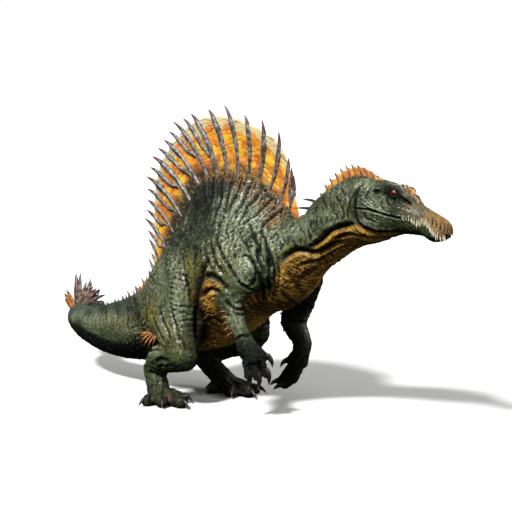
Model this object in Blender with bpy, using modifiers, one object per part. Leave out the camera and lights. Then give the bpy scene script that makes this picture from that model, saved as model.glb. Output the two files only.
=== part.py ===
"""Solid display figure of a spinosaurus, about 1:35, standing on two hind legs with its snout level.

Every length in the tables below is in millimetres.
The figure faces +X, its right side faces -Y, and it stands on z = 0.
"""
import math

import bmesh
import bpy
from mathutils import Vector

MM = 0.001
FIGURE = "spinosaurus_figure"

# The middle of the figure's floor box, which becomes the origin.
BOX_CENTRE_X = -9.4
BOX_CENTRE_Y = 1.8

GAP = 0.3                # clearance between neighbouring castings
BODY_SIDES = 20          # vertices round the body
SEAT_LEVEL = 0.95        # share of a section's height at which the back is flattened for the sail
FORM_VOXEL = 1.3         # grain at which the masses of a limb melt into one form
LUMP_RINGS = 8           # rings and sides of the lumps that a limb is made of
LUMP_SIDES = 12
LEG_FACES = 0.032        # share of a limb's fine faces that is kept
ARM_FACES = 0.082
WELD = 0.03              # corners nearer than this after a join become one

EYE = (141.6, 8.6, 141.6)
EYE_RADIUS = 2.5
# The mouth of the socket: its shift from the eye, then its half sizes.
EYE_OPENING = (0.8, 4.0, 0.2, 4.0, 3.0, 3.4)
BROW = ((130, 8.5, 142.4, 5.5, 4.0, 3.0), (140, 7.0, 142.8, 5.0, 3.6, 2.2), (148, 4.4, 137.6, 4.0, 2.6, 2.0))
BROW_FACET = 9.0         # bends flatter than this many degrees are dissolved on the brow

MOUTH_RADIUS = 0.9
TOOTH_RADIUS = 0.85
TOOTH_ROOT = 1.4
TOOTH_LENGTH = 3.4
TOOTH_SWELL = 1.2        # how much longer the middle teeth are
TEETH_FRONT_X = 172.5
# Each row of teeth: which way it points, its count, where it starts, its share of the full length,
# and its inset.
TEETH_ROWS = ((-1, 9, 149.0, 1.0, 0.2), (1, 6, 153.0, 0.62, 0.6))

SAIL_THICKNESS = 2.3
RIB_COUNT = 15
RIB_FOOT_BACK_X = -61.0
RIB_FOOT_FRONT_X = 53.0
RIB_EDGE_BACK = 0.11     # share of the sail's edge, from its rear foot, at which the first rib comes out
RIB_EDGE_FRONT = 0.93
RIB_TIP = 10.0           # how far a rib stands out past the web
RIB_RADII = (1.1, 1.9, 1.4, 0.35)
RIB_SIDES = 5
RIB_BOW = 0.05           # how far a rib bows forward, as a share of its length
SCALLOP = 1.6            # how far the web sags between two ribs
WEB_SAMPLES = 45
WEB_FOOT_FRONT_X = 62
WEB_FOOT_BACK_X = -72
WEB_FOOT_STEP = 9
WEB_ROOT = 2.0           # how far the web reaches below the back before it is cut to fit

FLOOR_BLOCK = (140, 140, 20)
FLOOR_BLOCK_X = -10

# Stations of the body from the tail tip to the snout:
# name, x, y, top, widest level, bottom, half width, pinch of the upper half, pinch of the lower half.
# A pinch of 0.5 is an ellipse, less is boxier, more draws the half to a keel.
BODY_STATIONS = (
    ("tail tip", -190, 62, 41.0, 39.0, 37.0, 1.6, 0.5, 0.5),
    ("tail end", -187, 56, 42.0, 38.5, 34.5, 3.6, 0.6, 0.5),
    ("tail bend", -180, 38, 43.5, 38.0, 32.0, 6.2, 0.65, 0.5),
    ("tail turn", -168, 20, 45.0, 37.0, 28.5, 8.6, 0.7, 0.5),
    ("tail middle", -149, 8, 46.5, 36.0, 24.5, 10.8, 0.7, 0.5),
    ("tail sweep", -128, 2, 49.0, 35.0, 19.5, 13.0, 0.7, 0.5),
    ("tail root", -110, 0, 53.0, 35.0, 17.0, 15.5, 0.75, 0.5),
    ("tail base", -92, 0, 59.0, 37.0, 16.0, 18.5, 0.8, 0.5),
    ("rump", -74, 0, 67.5, 42.0, 17.0, 22.5, 0.85, 0.5),
    ("hips", -58, 0, 86.0, 50.0, 20.0, 27.0, 1.0, 0.5),
    ("loins", -45, 0, 104.0, 57.0, 23.5, 31.0, 1.1, 0.48),
    ("back of hump", -33, 0, 120.0, 63.0, 27.0, 33.5, 1.2, 0.47),
    ("hump rise", -19, 0, 138.0, 69.0, 30.0, 35.0, 1.3, 0.46),
    ("hump", -3, 0, 142.5, 74.0, 34.0, 36.0, 1.3, 0.46),
    ("flank", 13, 0, 143.0, 79.0, 43.0, 36.0, 1.3, 0.46),
    ("withers", 28, 0, 140.5, 85.0, 55.0, 34.5, 1.25, 0.46),
    ("shoulders", 40, 0, 132.0, 89.0, 61.0, 31.5, 1.0, 0.46),
    ("breast", 51, 0, 124.5, 93.0, 63.5, 27.5, 0.75, 0.46),
    ("neck root", 62, 0, 122.0, 98.0, 70.5, 23.0, 0.6, 0.46),
    ("neck", 72, 0, 125.0, 104.0, 80.0, 19.5, 0.55, 0.46),
    ("nape foot", 80, 0, 134.5, 111.0, 89.5, 18.0, 0.55, 0.46),
    ("nape", 90, 0, 141.5, 118.0, 96.0, 17.5, 0.6, 0.46),
    ("nape top", 101, 0, 147.0, 124.0, 103.0, 17.8, 0.6, 0.44),
    ("jaw muscle", 112, 0, 149.0, 127.0, 108.0, 18.2, 0.52, 0.42),
    ("cheek", 123, 0, 147.8, 128.5, 110.5, 17.0, 0.42, 0.4),
    ("brow", 133, 0, 146.0, 129.0, 114.0, 14.4, 0.38, 0.4),
    ("forehead", 142, 0, 142.5, 128.0, 116.8, 11.6, 0.38, 0.42),
    ("snout root", 150, 0, 137.0, 126.0, 117.0, 9.4, 0.42, 0.42),
    ("snout waist", 158, 0, 133.2, 123.5, 116.2, 7.8, 0.45, 0.42),
    ("rosette", 165, 0, 130.0, 121.0, 113.4, 8.4, 0.45, 0.42),
    ("snout front", 171, 0, 127.0, 120.0, 114.6, 7.6, 0.45, 0.45),
    ("snout end", 174.2, 0, 124.0, 120.0, 117.0, 4.6, 0.5, 0.5),
    ("snout tip", 175.2, 0, 122.0, 120.5, 119.0, 2.2, 0.5, 0.5),
)

# The line between the jaws: x, z.
MOUTH_LINE = (
    (113, 132.3), (121, 131.7), (128, 131.5), (135, 129.6), (142, 127.8), (148, 126.4), (153, 126.0),
    (157, 123.6), (162, 124.8), (166, 122.4), (170, 118.8), (173, 117.8),
)

MOUTH_FRONT = (175.4, 118.6)

# The edge of the sail's web, from its rear foot over the top to its front foot: x, z.
SAIL_EDGE = (
    (-72, 67), (-67, 88), (-68, 110), (-67, 131), (-63, 149), (-53, 164), (-39, 175.5), (-22, 182),
    (-4, 183.5), (14, 181), (31, 175), (46, 166), (54, 152), (58, 139), (61, 130), (63, 121.5),
)

# Masses of the limbs, each a rounded lump: x, y, z, and its half sizes along x, y and z.
# The lumps of one tuple are wrapped in one hull, and the hulls melt into one form.
LEG_RIGHT = (
    (
        (-26, -20, 71, 17, 15, 24), (-8, -24, 76, 15, 14, 21), (-21, -31, 54, 17, 11, 14),
        (-4, -37, 38, 12, 9, 11),
    ),
    ((-2, -38, 33, 10.5, 9.5, 10.5), (-20, -36, 29, 11, 9.5, 9.5)),
    ((-20, -36, 29, 11, 9.5, 9.5), (-35, -32, 20, 7, 7.5, 7)),
    ((-35, -32, 20, 7, 7.5, 7), (-23, -39, 6.0, 8, 7.5, 6.9)),
    ((-22, -42, 5.0, 5.5, 5, 5.8), (-21, -52, 3.0, 3.6, 3.6, 3.6)),
    ((-19, -42, 5.0, 5.5, 5, 5.8), (-10, -49, 3.1, 3.8, 3.8, 3.8)),
    ((-18, -39, 5.0, 5.5, 5, 5.8), (0, -42, 3.2, 3.9, 3.9, 3.9)),
    ((-20, -36, 5.0, 5.5, 5, 5.8), (-10, -30, 3.0, 3.6, 3.6, 3.6)),
)
LEG_LEFT = (
    (
        (-25, 20, 71, 17, 15, 24), (-10, 22, 73, 15, 14, 21), (-22, 30, 57, 17, 11, 14),
        (-6, 34, 44, 12, 9, 11),
    ),
    ((-5, 34, 40, 10.5, 9.5, 10.5), (-10, 32, 32, 10, 9, 9), (-26, 30, 29, 10, 9, 9)),
    ((-26, 30, 29, 10, 9, 9), (-44, 24, 19, 7, 7, 7)),
    ((-44, 24, 19, 7, 7, 7), (-14, 15, 6.2, 8, 7.5, 7.1)),
    ((-10, 18, 5.0, 5.5, 5, 5.8), (5, 23, 3.1, 3.8, 3.8, 3.8)),
    ((-9, 15, 5.0, 5.5, 5, 5.8), (10, 11, 3.2, 3.9, 3.9, 3.9)),
    ((-11, 12, 5.0, 5.5, 5, 5.8), (1, 4, 3.1, 3.8, 3.8, 3.8)),
    ((-16, 12, 5.0, 5.5, 5, 5.8), (-18, 4, 3.0, 3.6, 3.6, 3.6)),
)
ARM_RIGHT = (
    ((48, -27, 91, 12.5, 11, 14), (45, -33, 84, 10, 9, 10)),
    ((45, -33, 84, 10, 9, 10), (38, -38, 72, 8.6, 8, 9)),
    ((38, -38, 72, 8.4, 7.8, 8.8), (42, -38, 63, 7.4, 7, 7.6)),
    ((42, -38, 63, 7.4, 7, 7.6), (49.5, -37, 50, 5.6, 5.2, 5.6)),
    ((49.5, -37, 50, 5.6, 5.2, 5.6), (55.5, -35.5, 39, 6.4, 5, 6.4)),
    ((53.5, -37.5, 37, 3.2, 3.0, 3.2), (54.3, -38.5, 27, 2.3, 2.3, 2.4)),
    ((56.5, -35.5, 37, 3.2, 3.0, 3.2), (58.6, -35, 26.5, 2.3, 2.3, 2.4)),
    ((58.5, -33, 39, 3.2, 3.0, 3.2), (61.8, -30.5, 28, 2.3, 2.3, 2.4)),
    ((55, -34, 45, 3.2, 3.0, 3.2), (61, -28.8, 38.5, 2.2, 2.2, 2.3)),
)
ARM_LEFT = (
    ((46, 25, 81, 12.5, 11, 14), (37, 33, 65, 9.4, 8.8, 10)),
    ((37, 33, 65, 9.4, 8.8, 10), (27, 36, 50, 8.8, 8, 9)),
    ((27, 36, 50, 8.8, 8, 8.8), (38.5, 32.5, 37, 6.2, 5.8, 6)),
    ((38.5, 32.5, 37, 6.2, 5.8, 6), (38.5, 28.5, 26, 6.6, 5.6, 6.4)),
    ((36, 27, 24, 3.2, 3.0, 3.2), (34.5, 23, 15, 2.7, 2.7, 2.8), (29, 21, 12, 2.4, 2.4, 2.4)),
    ((38.5, 27, 22, 3.2, 3.0, 3.2), (36.5, 24.5, 13, 2.7, 2.7, 2.8), (31.5, 22, 9.5, 2.4, 2.4, 2.4)),
    ((41, 27, 24, 3.2, 3.0, 3.2), (39.5, 22.5, 14.5, 2.7, 2.7, 2.8), (35, 19.5, 10.5, 2.4, 2.4, 2.4)),
    ((35, 30.5, 31, 3.2, 3.0, 3.2), (30, 27.5, 25, 2.2, 2.2, 2.3)),
)

# Claws: where each leaves its toe or finger, where it ends, and its half thickness at the root.
CLAWS = {
    "leg_right": (
        ((-21, -53.2, 4.0), (-21, -59.5, 0.9), 1.7), ((-9, -50, 4.3), (-5, -54, 0.9), 1.9),
        ((1.5, -42.3, 4.4), (9.0, -44, 0.9), 2.0), ((-9, -29.6, 4.0), (-3.5, -27.5, 0.9), 1.6),
    ),
    "leg_left": (
        ((6.5, 23.5, 4.3), (13.0, 25.5, 0.9), 1.8), ((11.5, 10.6, 4.4), (19, 8.5, 0.9), 2.0),
        ((2, 3.2, 4.2), (6.0, -1.0, 0.9), 1.8), ((-18.2, 3, 4.0), (-17, -2.5, 0.9), 1.5),
    ),
    "arm_right": (
        ((54.3, -38.6, 26), (55.8, -37.2, 18.6), 1.5), ((58.7, -35, 25.5), (60.0, -33.2, 17.6), 1.5),
        ((62, -30.2, 27), (63.6, -28.0, 19.8), 1.5), ((61.4, -28.4, 38), (64.0, -25.8, 31.5), 1.4),
    ),
    "arm_left": (
        ((28.4, 20.8, 11.6), (21.8, 18.6, 8.6), 1.5), ((30.9, 21.6, 9.0), (24.4, 19.0, 6.0), 1.5),
        ((34.4, 19, 10), (28.4, 16.0, 7.2), 1.5), ((29.5, 27.2, 24.5), (25.4, 24.8, 20.0), 1.4),
    ),
}
CLAW_SAG = 0.9           # how far a claw's middle bows outward from its chord

# The nape frill and the snout crest, each a thin comb: the x of its two ends, its height,
# how many points it has.
NAPE_FRILL = (79.0, 124.0, 6.2, 9)
SNOUT_CREST = (141.5, 153.0, 4.4, 3)
COMB_THICKNESS = 2.0
COMB_ROOT = 3.0          # how far a comb reaches down into the head

# Bare quills: foot x, y, z, then tip x, y, z, and half thickness at the foot.
QUILLS = (
    ((80, 0, 129), (70, 2.5, 138), 0.75), ((76, 0, 125), (67, -3, 133), 0.75),
    ((72, 0, 121), (66, 3, 129), 0.75),
    ((-172, 28, 38), (-176, 31, 63), 1.7), ((-176, 34, 38), (-184, 39, 60), 1.5),
    ((-170, 26, 38), (-166, 30, 60), 1.4), ((-180, 41, 38), (-187, 50, 57), 1.4),
    ((-166, 20, 39), (-157, 25, 54), 1.4), ((-174, 32, 37), (-186, 25, 52), 1.5),
    ((-184, 50, 38), (-194, 63, 48), 1.3),
)
QUILL_BOW = 0.8          # how far a quill's middle bows up from its chord

# Small keel spines along the tail: first x, last x, how many, tallest, shortest, half thickness, root.
KEEL = (-80.0, -128.0, 7, 4.2, 2.0, 1.3, 1.6)

SKIN = ("painted skin", (0.085, 0.105, 0.055), 0.45, 0.0)
WEB = ("painted web", (0.80, 0.30, 0.02), 0.5, 0.0)
LIMB = ("painted limb", (0.075, 0.092, 0.050), 0.45, 0.0)
EYE_PAINT = ("glossy eye", (0.55, 0.01, 0.015), 0.08, 0.0)


def clear_scene():
    """Take away whatever the new file holds."""
    for old in list(bpy.data.objects):
        bpy.data.objects.remove(old)


def paint(settings):
    """A Principled material from a name, a linear colour, a roughness and a metallic value."""
    name, colour, roughness, metallic = settings
    material = bpy.data.materials.new(name)
    material.use_nodes = True
    shader = material.node_tree.nodes["Principled BSDF"]
    shader.inputs["Base Color"].default_value = (*colour, 1.0)
    shader.inputs["Roughness"].default_value = roughness
    shader.inputs["Metallic"].default_value = metallic
    material.diffuse_color = (*colour, 1.0)
    return material


def place(name, mesh, collection, origin, material=None):
    """Put a mesh in a collection, under the figure's origin."""
    made = bpy.data.objects.new(name, mesh)
    collection.objects.link(made)
    made.parent = origin
    if material is not None:
        mesh.materials.append(material)
        mesh.shade_smooth()
    return made


def mesh_from(bm, name):
    """Turn a bmesh in millimetres into a mesh in metres, faces pointing out."""
    bmesh.ops.recalc_face_normals(bm, faces=bm.faces)
    bmesh.ops.scale(bm, vec=(MM, MM, MM), verts=bm.verts)
    mesh = bpy.data.meshes.new(name)
    bm.to_mesh(mesh)
    bm.free()
    return mesh


def as_guide(made):
    """Mark a cutter or an added form, which is no piece of its own."""
    made.hide_render = True
    made.display_type = "WIRE"
    return made


def smooth_blend(before, start, end, after, t):
    """One value of the smooth curve that passes through start and end."""
    rise = (end - before) / 2
    fall = (after - start) / 2
    return (
        start * (2 * t**3 - 3 * t**2 + 1) + rise * (t**3 - 2 * t**2 + t)
        + end * (3 * t**2 - 2 * t**3) + fall * (t**3 - t**2)
    )


def smooth_rows(rows, steps):
    """Rows of numbers with more rows blended in between them."""
    made = []
    last = len(rows) - 1
    for i in range(last):
        before, start = rows[max(i - 1, 0)], rows[i]
        end, after = rows[i + 1], rows[min(i + 2, last)]
        for step in range(steps):
            t = step / steps
            made.append([smooth_blend(*four, t) for four in zip(before, start, end, after)])
    made.append(list(rows[last]))
    return made


def body_rows(steps):
    """The body's stations without their names, with blended ones between."""
    return smooth_rows([row[1:] for row in BODY_STATIONS], steps)


def section_point(row, across, angle, grow):
    """A point of one section: across is the unit vector to the left, grow thickens the section."""
    x, y, top, level, bottom, half, pinch_up, pinch_down = row
    height = math.sin(angle)
    if height >= 0:
        rise = (top - level + grow) * min(height / SEAT_LEVEL, 1.0)
        pinch = pinch_up
    else:
        rise = (level - bottom + grow) * height
        pinch = pinch_down
    side = math.cos(angle)
    reach = (half + grow) * math.copysign(abs(side) ** (2 * pinch), side)
    reach += math.copysign(grow * (1 - abs(side)), side) if abs(side) > 1e-6 else 0.0
    return Vector((x + across.x * reach, y + across.y * reach, level + rise))


def body_form(grow):
    """The loft through the body's sections, closed at both ends."""
    rows = body_rows(1)
    bm = bmesh.new()
    rings = []
    for i, row in enumerate(rows):
        ahead = rows[min(i + 1, len(rows) - 1)]
        behind = rows[max(i - 1, 0)]
        heading = Vector((ahead[0] - behind[0], ahead[1] - behind[1], 0)).normalized()
        across = Vector((-heading.y, heading.x, 0))
        angles = [2 * math.pi * (k + 0.5) / BODY_SIDES for k in range(BODY_SIDES)]
        rings.append([bm.verts.new(section_point(row, across, a, grow)) for a in angles])
    for near, far in zip(rings, rings[1:]):
        for k in range(BODY_SIDES):
            n = (k + 1) % BODY_SIDES
            bm.faces.new((near[k], near[n], far[n], far[k]))
    bm.faces.new(rings[0])
    bm.faces.new(rings[-1])
    return mesh_from(bm, "body form")


def body_row_at(x):
    """The section at a place ahead of the tail's bend."""
    rows = [row for row in body_rows(8) if row[0] > -140]
    for low, high in zip(rows, rows[1:]):
        if low[0] <= x <= high[0]:
            t = (x - low[0]) / (high[0] - low[0])
            return [a + (b - a) * t for a, b in zip(low, high)]
    return rows[-1]


def side_reach(x, z):
    """Half the body's width at a place and a height."""
    _, _, top, level, bottom, half, pinch_up, pinch_down = body_row_at(x)
    if z >= level:
        share, pinch = (z - level) / (top - level) * SEAT_LEVEL, pinch_up
    else:
        share, pinch = (level - z) / (level - bottom), pinch_down
    return half * max(1 - share**2, 0.0) ** pinch


def height_on(line, x):
    """The height of a line of (x, z) points at x."""
    for (x0, z0), (x1, z1) in zip(line, line[1:]):
        if x0 <= x <= x1:
            return z0 + (z1 - z0) * (x - x0) / (x1 - x0)
    return line[-1][1]


def add_tube(bm, points, radii, sides):
    """A closed tapering tube along a few points."""
    rings = []
    for i, (point, radius) in enumerate(zip(points, radii)):
        ahead = points[min(i + 1, len(points) - 1)]
        behind = points[max(i - 1, 0)]
        along = (ahead - behind).normalized()
        side = along.orthogonal().normalized()
        lift = along.cross(side)
        turns = [2 * math.pi * k / sides for k in range(sides)]
        spokes = [side * math.cos(a) + lift * math.sin(a) for a in turns]
        rings.append([bm.verts.new(point + spoke * radius) for spoke in spokes])
    for near, far in zip(rings, rings[1:]):
        bmesh.ops.bridge_loops(bm, edges=ring_edges(bm, near) + ring_edges(bm, far))
    bm.faces.new(rings[0])
    bm.faces.new(rings[-1])


def ring_edges(bm, ring):
    """The edges of a closed ring of vertices, made where they are missing."""
    found = []
    for a, b in zip(ring, ring[1:] + ring[:1]):
        edge = bm.edges.get((a, b))
        found.append(edge if edge is not None else bm.edges.new((a, b)))
    return found


def add_cone(bm, foot, tip, radius, sides, bow=0.0):
    """A pointed spine, tooth, claw or quill, bowed upward by a few tenths."""
    foot, tip = Vector(foot), Vector(tip)
    along = tip - foot
    lift = Vector((0, 0, 1)) - along * (along.z / along.length_squared)
    lift = lift.normalized() if lift.length > 0.2 else along.orthogonal().normalized()
    if bow:
        middle = foot + along * 0.55 + lift * bow
        add_tube(bm, [foot, middle, tip], [radius, radius * 0.66, radius * 0.14], sides)
    else:
        add_tube(bm, [foot, tip], [radius, radius * 0.14], sides)


def add_hull(bm, lumps):
    """Wrap a few rounded lumps in one convex hull."""
    cloud = []
    for x, y, z, rx, ry, rz in lumps:
        for ring in range(LUMP_RINGS + 1):
            lift = math.pi * ring / LUMP_RINGS - math.pi / 2
            sides = LUMP_SIDES if 0 < ring < LUMP_RINGS else 1
            for k in range(sides):
                turn = 2 * math.pi * k / LUMP_SIDES
                flat = math.cos(lift)
                reach = Vector((rx * flat * math.cos(turn), ry * flat * math.sin(turn), rz * math.sin(lift)))
                cloud.append(bm.verts.new(Vector((x, y, z)) + reach))
    wrapped = bmesh.ops.convex_hull(bm, input=cloud)
    inside = set(wrapped["geom_interior"]) | set(wrapped["geom_unused"])
    spare = [item for item in inside if isinstance(item, bmesh.types.BMVert)]
    bmesh.ops.delete(bm, geom=spare, context="VERTS")


def boolean(made, name, operation, operand, solver="EXACT"):
    """Join or cut with another object, or with every object of a collection."""
    modifier = made.modifiers.new(name, "BOOLEAN")
    modifier.operation = operation
    modifier.solver = solver
    if isinstance(operand, bpy.types.Collection):
        modifier.operand_type = "COLLECTION"
        modifier.collection = operand
    else:
        modifier.object = operand


def comb_form(ends, level):
    """A thin comb of rounded points standing on the middle line of the head."""
    back_x, front_x, height, count = ends
    flat = bpy.data.curves.new("comb", "CURVE")
    flat.dimensions = "2D"
    flat.fill_mode = "BOTH"
    flat.extrude = COMB_THICKNESS / 2 * MM
    outline = []
    for k in range(2 * count + 1):
        t = k / (2 * count)
        x = back_x + (front_x - back_x) * t
        swell = math.sin(math.pi * min(max(t, 0.04), 0.96)) ** 0.6
        reach = height * swell * (1.0 if k % 2 else 0.55)
        outline.append((x - 0.35 * reach * (k % 2), level(x) + reach))
    below = [(x, level(x) - COMB_ROOT) for x in (front_x, (back_x + front_x) / 2, back_x)]
    points = outline + below
    spline = flat.splines.new("POLY")
    spline.points.add(len(points) - 1)
    for point, (x, z) in zip(spline.points, points):
        point.co = (x * MM, z * MM, 0, 1)
    spline.use_cyclic_u = True
    return flat


def solid_from_curve(curve, name, collection, origin, tilt):
    """A mesh made from a curve, its caps welded, standing up from the floor plane where tilt is set."""
    drawn = bpy.data.objects.new(name + " curve", curve)
    collection.objects.link(drawn)
    drawn.rotation_euler = (math.pi / 2 if tilt else 0, 0, 0)
    bpy.context.view_layer.update()
    settled = drawn.evaluated_get(bpy.context.evaluated_depsgraph_get())
    mesh = bpy.data.meshes.new_from_object(settled)
    mesh.transform(drawn.matrix_world)
    bpy.data.objects.remove(drawn)
    bm = bmesh.new()
    bm.from_mesh(mesh)
    bmesh.ops.remove_doubles(bm, verts=bm.verts, dist=0.00002)
    bmesh.ops.recalc_face_normals(bm, faces=bm.faces)
    bm.to_mesh(mesh)
    bm.free()
    return as_guide(place(name, mesh, collection, origin))


def make_mouth(collection, origin):
    """The groove between the jaws: a thin tube round the snout from one cheek to the other."""
    curve = bpy.data.curves.new("mouth", "CURVE")
    curve.dimensions = "3D"
    curve.bevel_depth = MOUTH_RADIUS * MM
    curve.bevel_resolution = 1
    curve.use_fill_caps = True
    right = [(x, -side_reach(x, z), z) for x, z in MOUTH_LINE]
    left = [(x, -y, z) for x, y, z in reversed(right)]
    front = [(x, y, MOUTH_FRONT[1]) for x, y in ((MOUTH_FRONT[0], -2.6), (MOUTH_FRONT[0], 2.6))]
    route = right + front + left
    spline = curve.splines.new("POLY")
    spline.points.add(len(route) - 1)
    for point, (x, y, z) in zip(spline.points, route):
        point.co = (x * MM, y * MM, z * MM, 1)
    return solid_from_curve(curve, "mouth_groove", collection, origin, False)


def make_eye_parts(pieces, cutters, origin, material):
    """Two eyeballs, and the sockets that take them with a small gap."""
    sockets = []
    for side, name in ((-1, "right"), (1, "left")):
        centre = Vector((EYE[0], side * EYE[1], EYE[2]))
        ball = bmesh.new()
        bmesh.ops.create_uvsphere(ball, u_segments=10, v_segments=7, radius=EYE_RADIUS)
        bmesh.ops.translate(ball, vec=centre, verts=ball.verts)
        place("eye_" + name, mesh_from(ball, "eye"), pieces, origin, material)
        ahead, aside, above, *opening = EYE_OPENING
        socket = bmesh.new()
        add_hull(socket, (
            (*centre, *[EYE_RADIUS + GAP + 0.1] * 3),
            (centre.x + ahead, centre.y + side * aside, centre.z + above, *opening),
        ))
        sockets.append(as_guide(place("socket_" + name, mesh_from(socket, "socket"), cutters, origin)))
    return sockets


def make_brows(adds, origin):
    """The ridge over each eye, running forward to the snout."""
    for side in (-1, 1):
        bm = bmesh.new()
        add_hull(bm, [(x, side * y, z, *sizes) for x, y, z, *sizes in BROW])
        bmesh.ops.dissolve_limit(bm, angle_limit=math.radians(BROW_FACET), verts=bm.verts, edges=bm.edges)
        as_guide(place("brow", mesh_from(bm, "brow"), adds, origin))


def make_teeth(adds, origin):
    """Teeth along both jaws, leaning out a little over the other jaw."""
    for side in (-1, 1):
        for up, count, back_x, share, inset in TEETH_ROWS:
            for k in range(count):
                t = (k + 0.5) / count
                x = back_x + (TEETH_FRONT_X - back_x) * t
                z = height_on(MOUTH_LINE, x)
                y = side * (side_reach(x, z) - inset)
                length = (TOOTH_LENGTH + TOOTH_SWELL * math.sin(math.pi * t)) * share
                bm = bmesh.new()
                foot = (x, y, z - up * TOOTH_ROOT)
                tip = (x + 0.4, y + side * 0.5, z + up * length)
                add_cone(bm, foot, tip, TOOTH_RADIUS, 4)
                as_guide(place("tooth", mesh_from(bm, "tooth"), adds, origin))


def make_combs(cutters, origin):
    """The nape frill and the snout crest."""
    made = []
    for name, ends in (("nape_frill", NAPE_FRILL), ("snout_crest", SNOUT_CREST)):
        curve = comb_form(ends, lambda x: body_row_at(x)[2])
        made.append(solid_from_curve(curve, name, cutters, origin, True))
    return made


def make_quills(adds, origin):
    """Quills of the nape and the tail, and the keel spines that run on behind the sail."""
    for foot, tip, radius in QUILLS:
        bm = bmesh.new()
        add_cone(bm, foot, tip, radius, 4, bow=QUILL_BOW)
        as_guide(place("quill", mesh_from(bm, "quill"), adds, origin))
    first, last, count, tall, short, thick, root = KEEL
    for k in range(count):
        t = k / (count - 1)
        x = first + (last - first) * t
        row = body_row_at(x)
        height = tall + (short - tall) * t
        bm = bmesh.new()
        add_cone(bm, (x, row[1], row[2] - root), (x - height * 0.6, row[1], row[2] + height), thick, 4)
        as_guide(place("keel_spine", mesh_from(bm, "spine"), adds, origin))


def edge_point(share):
    """A point of the sail's edge at a share of its length, and the direction out of the sail."""
    points = [Vector((x, 0, z)) for x, z in smooth_rows(SAIL_EDGE, 6)]
    steps = [(b - a).length for a, b in zip(points, points[1:])]
    left = share * sum(steps)
    for a, b, step in zip(points, points[1:], steps):
        if left <= step:
            along = (b - a).normalized()
            return a + along * left, Vector((-along.z, 0, along.x))
        left -= step
    return points[-1], Vector((0, 0, 1))


def rib_line(k):
    """Where one rib leaves the back, and where it crosses the web's edge."""
    t = k / (RIB_COUNT - 1)
    foot_x = RIB_FOOT_BACK_X + (RIB_FOOT_FRONT_X - RIB_FOOT_BACK_X) * t
    foot = Vector((foot_x, 0, body_row_at(foot_x)[2] - 1.0))
    edge, _ = edge_point(RIB_EDGE_BACK + (RIB_EDGE_FRONT - RIB_EDGE_BACK) * t)
    return foot, edge


def make_sail(pieces, cutters, origin, material, clearance):
    """The web, scalloped between its ribs, with the ribs joined to it and its foot cut to the back."""
    outline = []
    span = RIB_EDGE_FRONT - RIB_EDGE_BACK
    for k in range(WEB_SAMPLES + 1):
        share = k / WEB_SAMPLES
        point, outward = edge_point(share)
        beat = (share - RIB_EDGE_BACK) / span * (RIB_COUNT - 1)
        sag = SCALLOP * abs(math.sin(math.pi * beat)) if 0 < beat < RIB_COUNT - 1 else 0.0
        outline.append(point - outward * sag)
    steps = range(WEB_FOOT_FRONT_X, WEB_FOOT_BACK_X - 1, -WEB_FOOT_STEP)
    seat = [Vector((x, 0, body_row_at(x)[2] - WEB_ROOT)) for x in steps]
    curve = bpy.data.curves.new("web", "CURVE")
    curve.dimensions = "2D"
    curve.fill_mode = "BOTH"
    curve.extrude = SAIL_THICKNESS / 2 * MM
    spline = curve.splines.new("POLY")
    route = outline + seat
    spline.points.add(len(route) - 1)
    for point, place_at in zip(spline.points, route):
        point.co = (place_at.x * MM, place_at.z * MM, 0, 1)
    spline.use_cyclic_u = True
    web = solid_from_curve(curve, "sail", cutters, origin, True)
    cutters.objects.unlink(web)
    pieces.objects.link(web)
    web.hide_render = False
    web.display_type = "TEXTURED"
    web.data.materials.append(material)
    ribs = bpy.data.collections.new("ribs")
    cutters.children.link(ribs)
    for k in range(RIB_COUNT):
        foot, edge = rib_line(k)
        along = (edge - foot).normalized()
        bow = Vector((along.z, 0, -along.x)) * (edge - foot).length * RIB_BOW
        tip = edge + along * RIB_TIP
        bm = bmesh.new()
        line = [foot, foot.lerp(edge, 0.6) + bow, edge, tip]
        add_tube(bm, line, RIB_RADII, RIB_SIDES)
        as_guide(place("rib", mesh_from(bm, "rib"), ribs, origin))
    boolean(web, "ribs", "UNION", ribs)
    boolean(web, "seat", "DIFFERENCE", clearance)


def make_limb(name, hulls, pieces, cutters, origin, material, clearance, floor, ratio):
    """One limb: lumps melted together, claws added, cut where it meets the body and the floor."""
    bm = bmesh.new()
    for lumps in hulls:
        add_hull(bm, lumps)
    limb = place(name, mesh_from(bm, name), pieces, origin, material)
    melt = limb.modifiers.new("melt", "REMESH")
    melt.mode = "VOXEL"
    melt.voxel_size = FORM_VOXEL * MM
    soften = limb.modifiers.new("soften", "SMOOTH")
    soften.factor = 0.5
    soften.iterations = 4
    thin = limb.modifiers.new("thin out", "DECIMATE")
    thin.ratio = ratio
    claws = bpy.data.collections.new(name + " claws")
    cutters.children.link(claws)
    for foot, tip, radius in CLAWS[name]:
        claw = bmesh.new()
        start = Vector(foot) - (Vector(tip) - Vector(foot)).normalized() * 1.5
        add_cone(claw, start, tip, radius, 6, bow=CLAW_SAG)
        as_guide(place("claw", mesh_from(claw, "claw"), claws, origin))
    boolean(limb, "claws", "UNION", claws)
    boolean(limb, "fit to body", "DIFFERENCE", clearance)
    if floor is not None:
        boolean(limb, "sole", "DIFFERENCE", floor)
    return limb


def make_floor(cutters, origin):
    """The block that cuts the soles flat."""
    bm = bmesh.new()
    bmesh.ops.create_cube(bm, size=1.0)
    bmesh.ops.scale(bm, vec=FLOOR_BLOCK, verts=bm.verts)
    bmesh.ops.translate(bm, vec=(FLOOR_BLOCK_X, 0, -FLOOR_BLOCK[2] / 2), verts=bm.verts)
    return as_guide(place("floor_block", mesh_from(bm, "floor"), cutters, origin))


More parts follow.
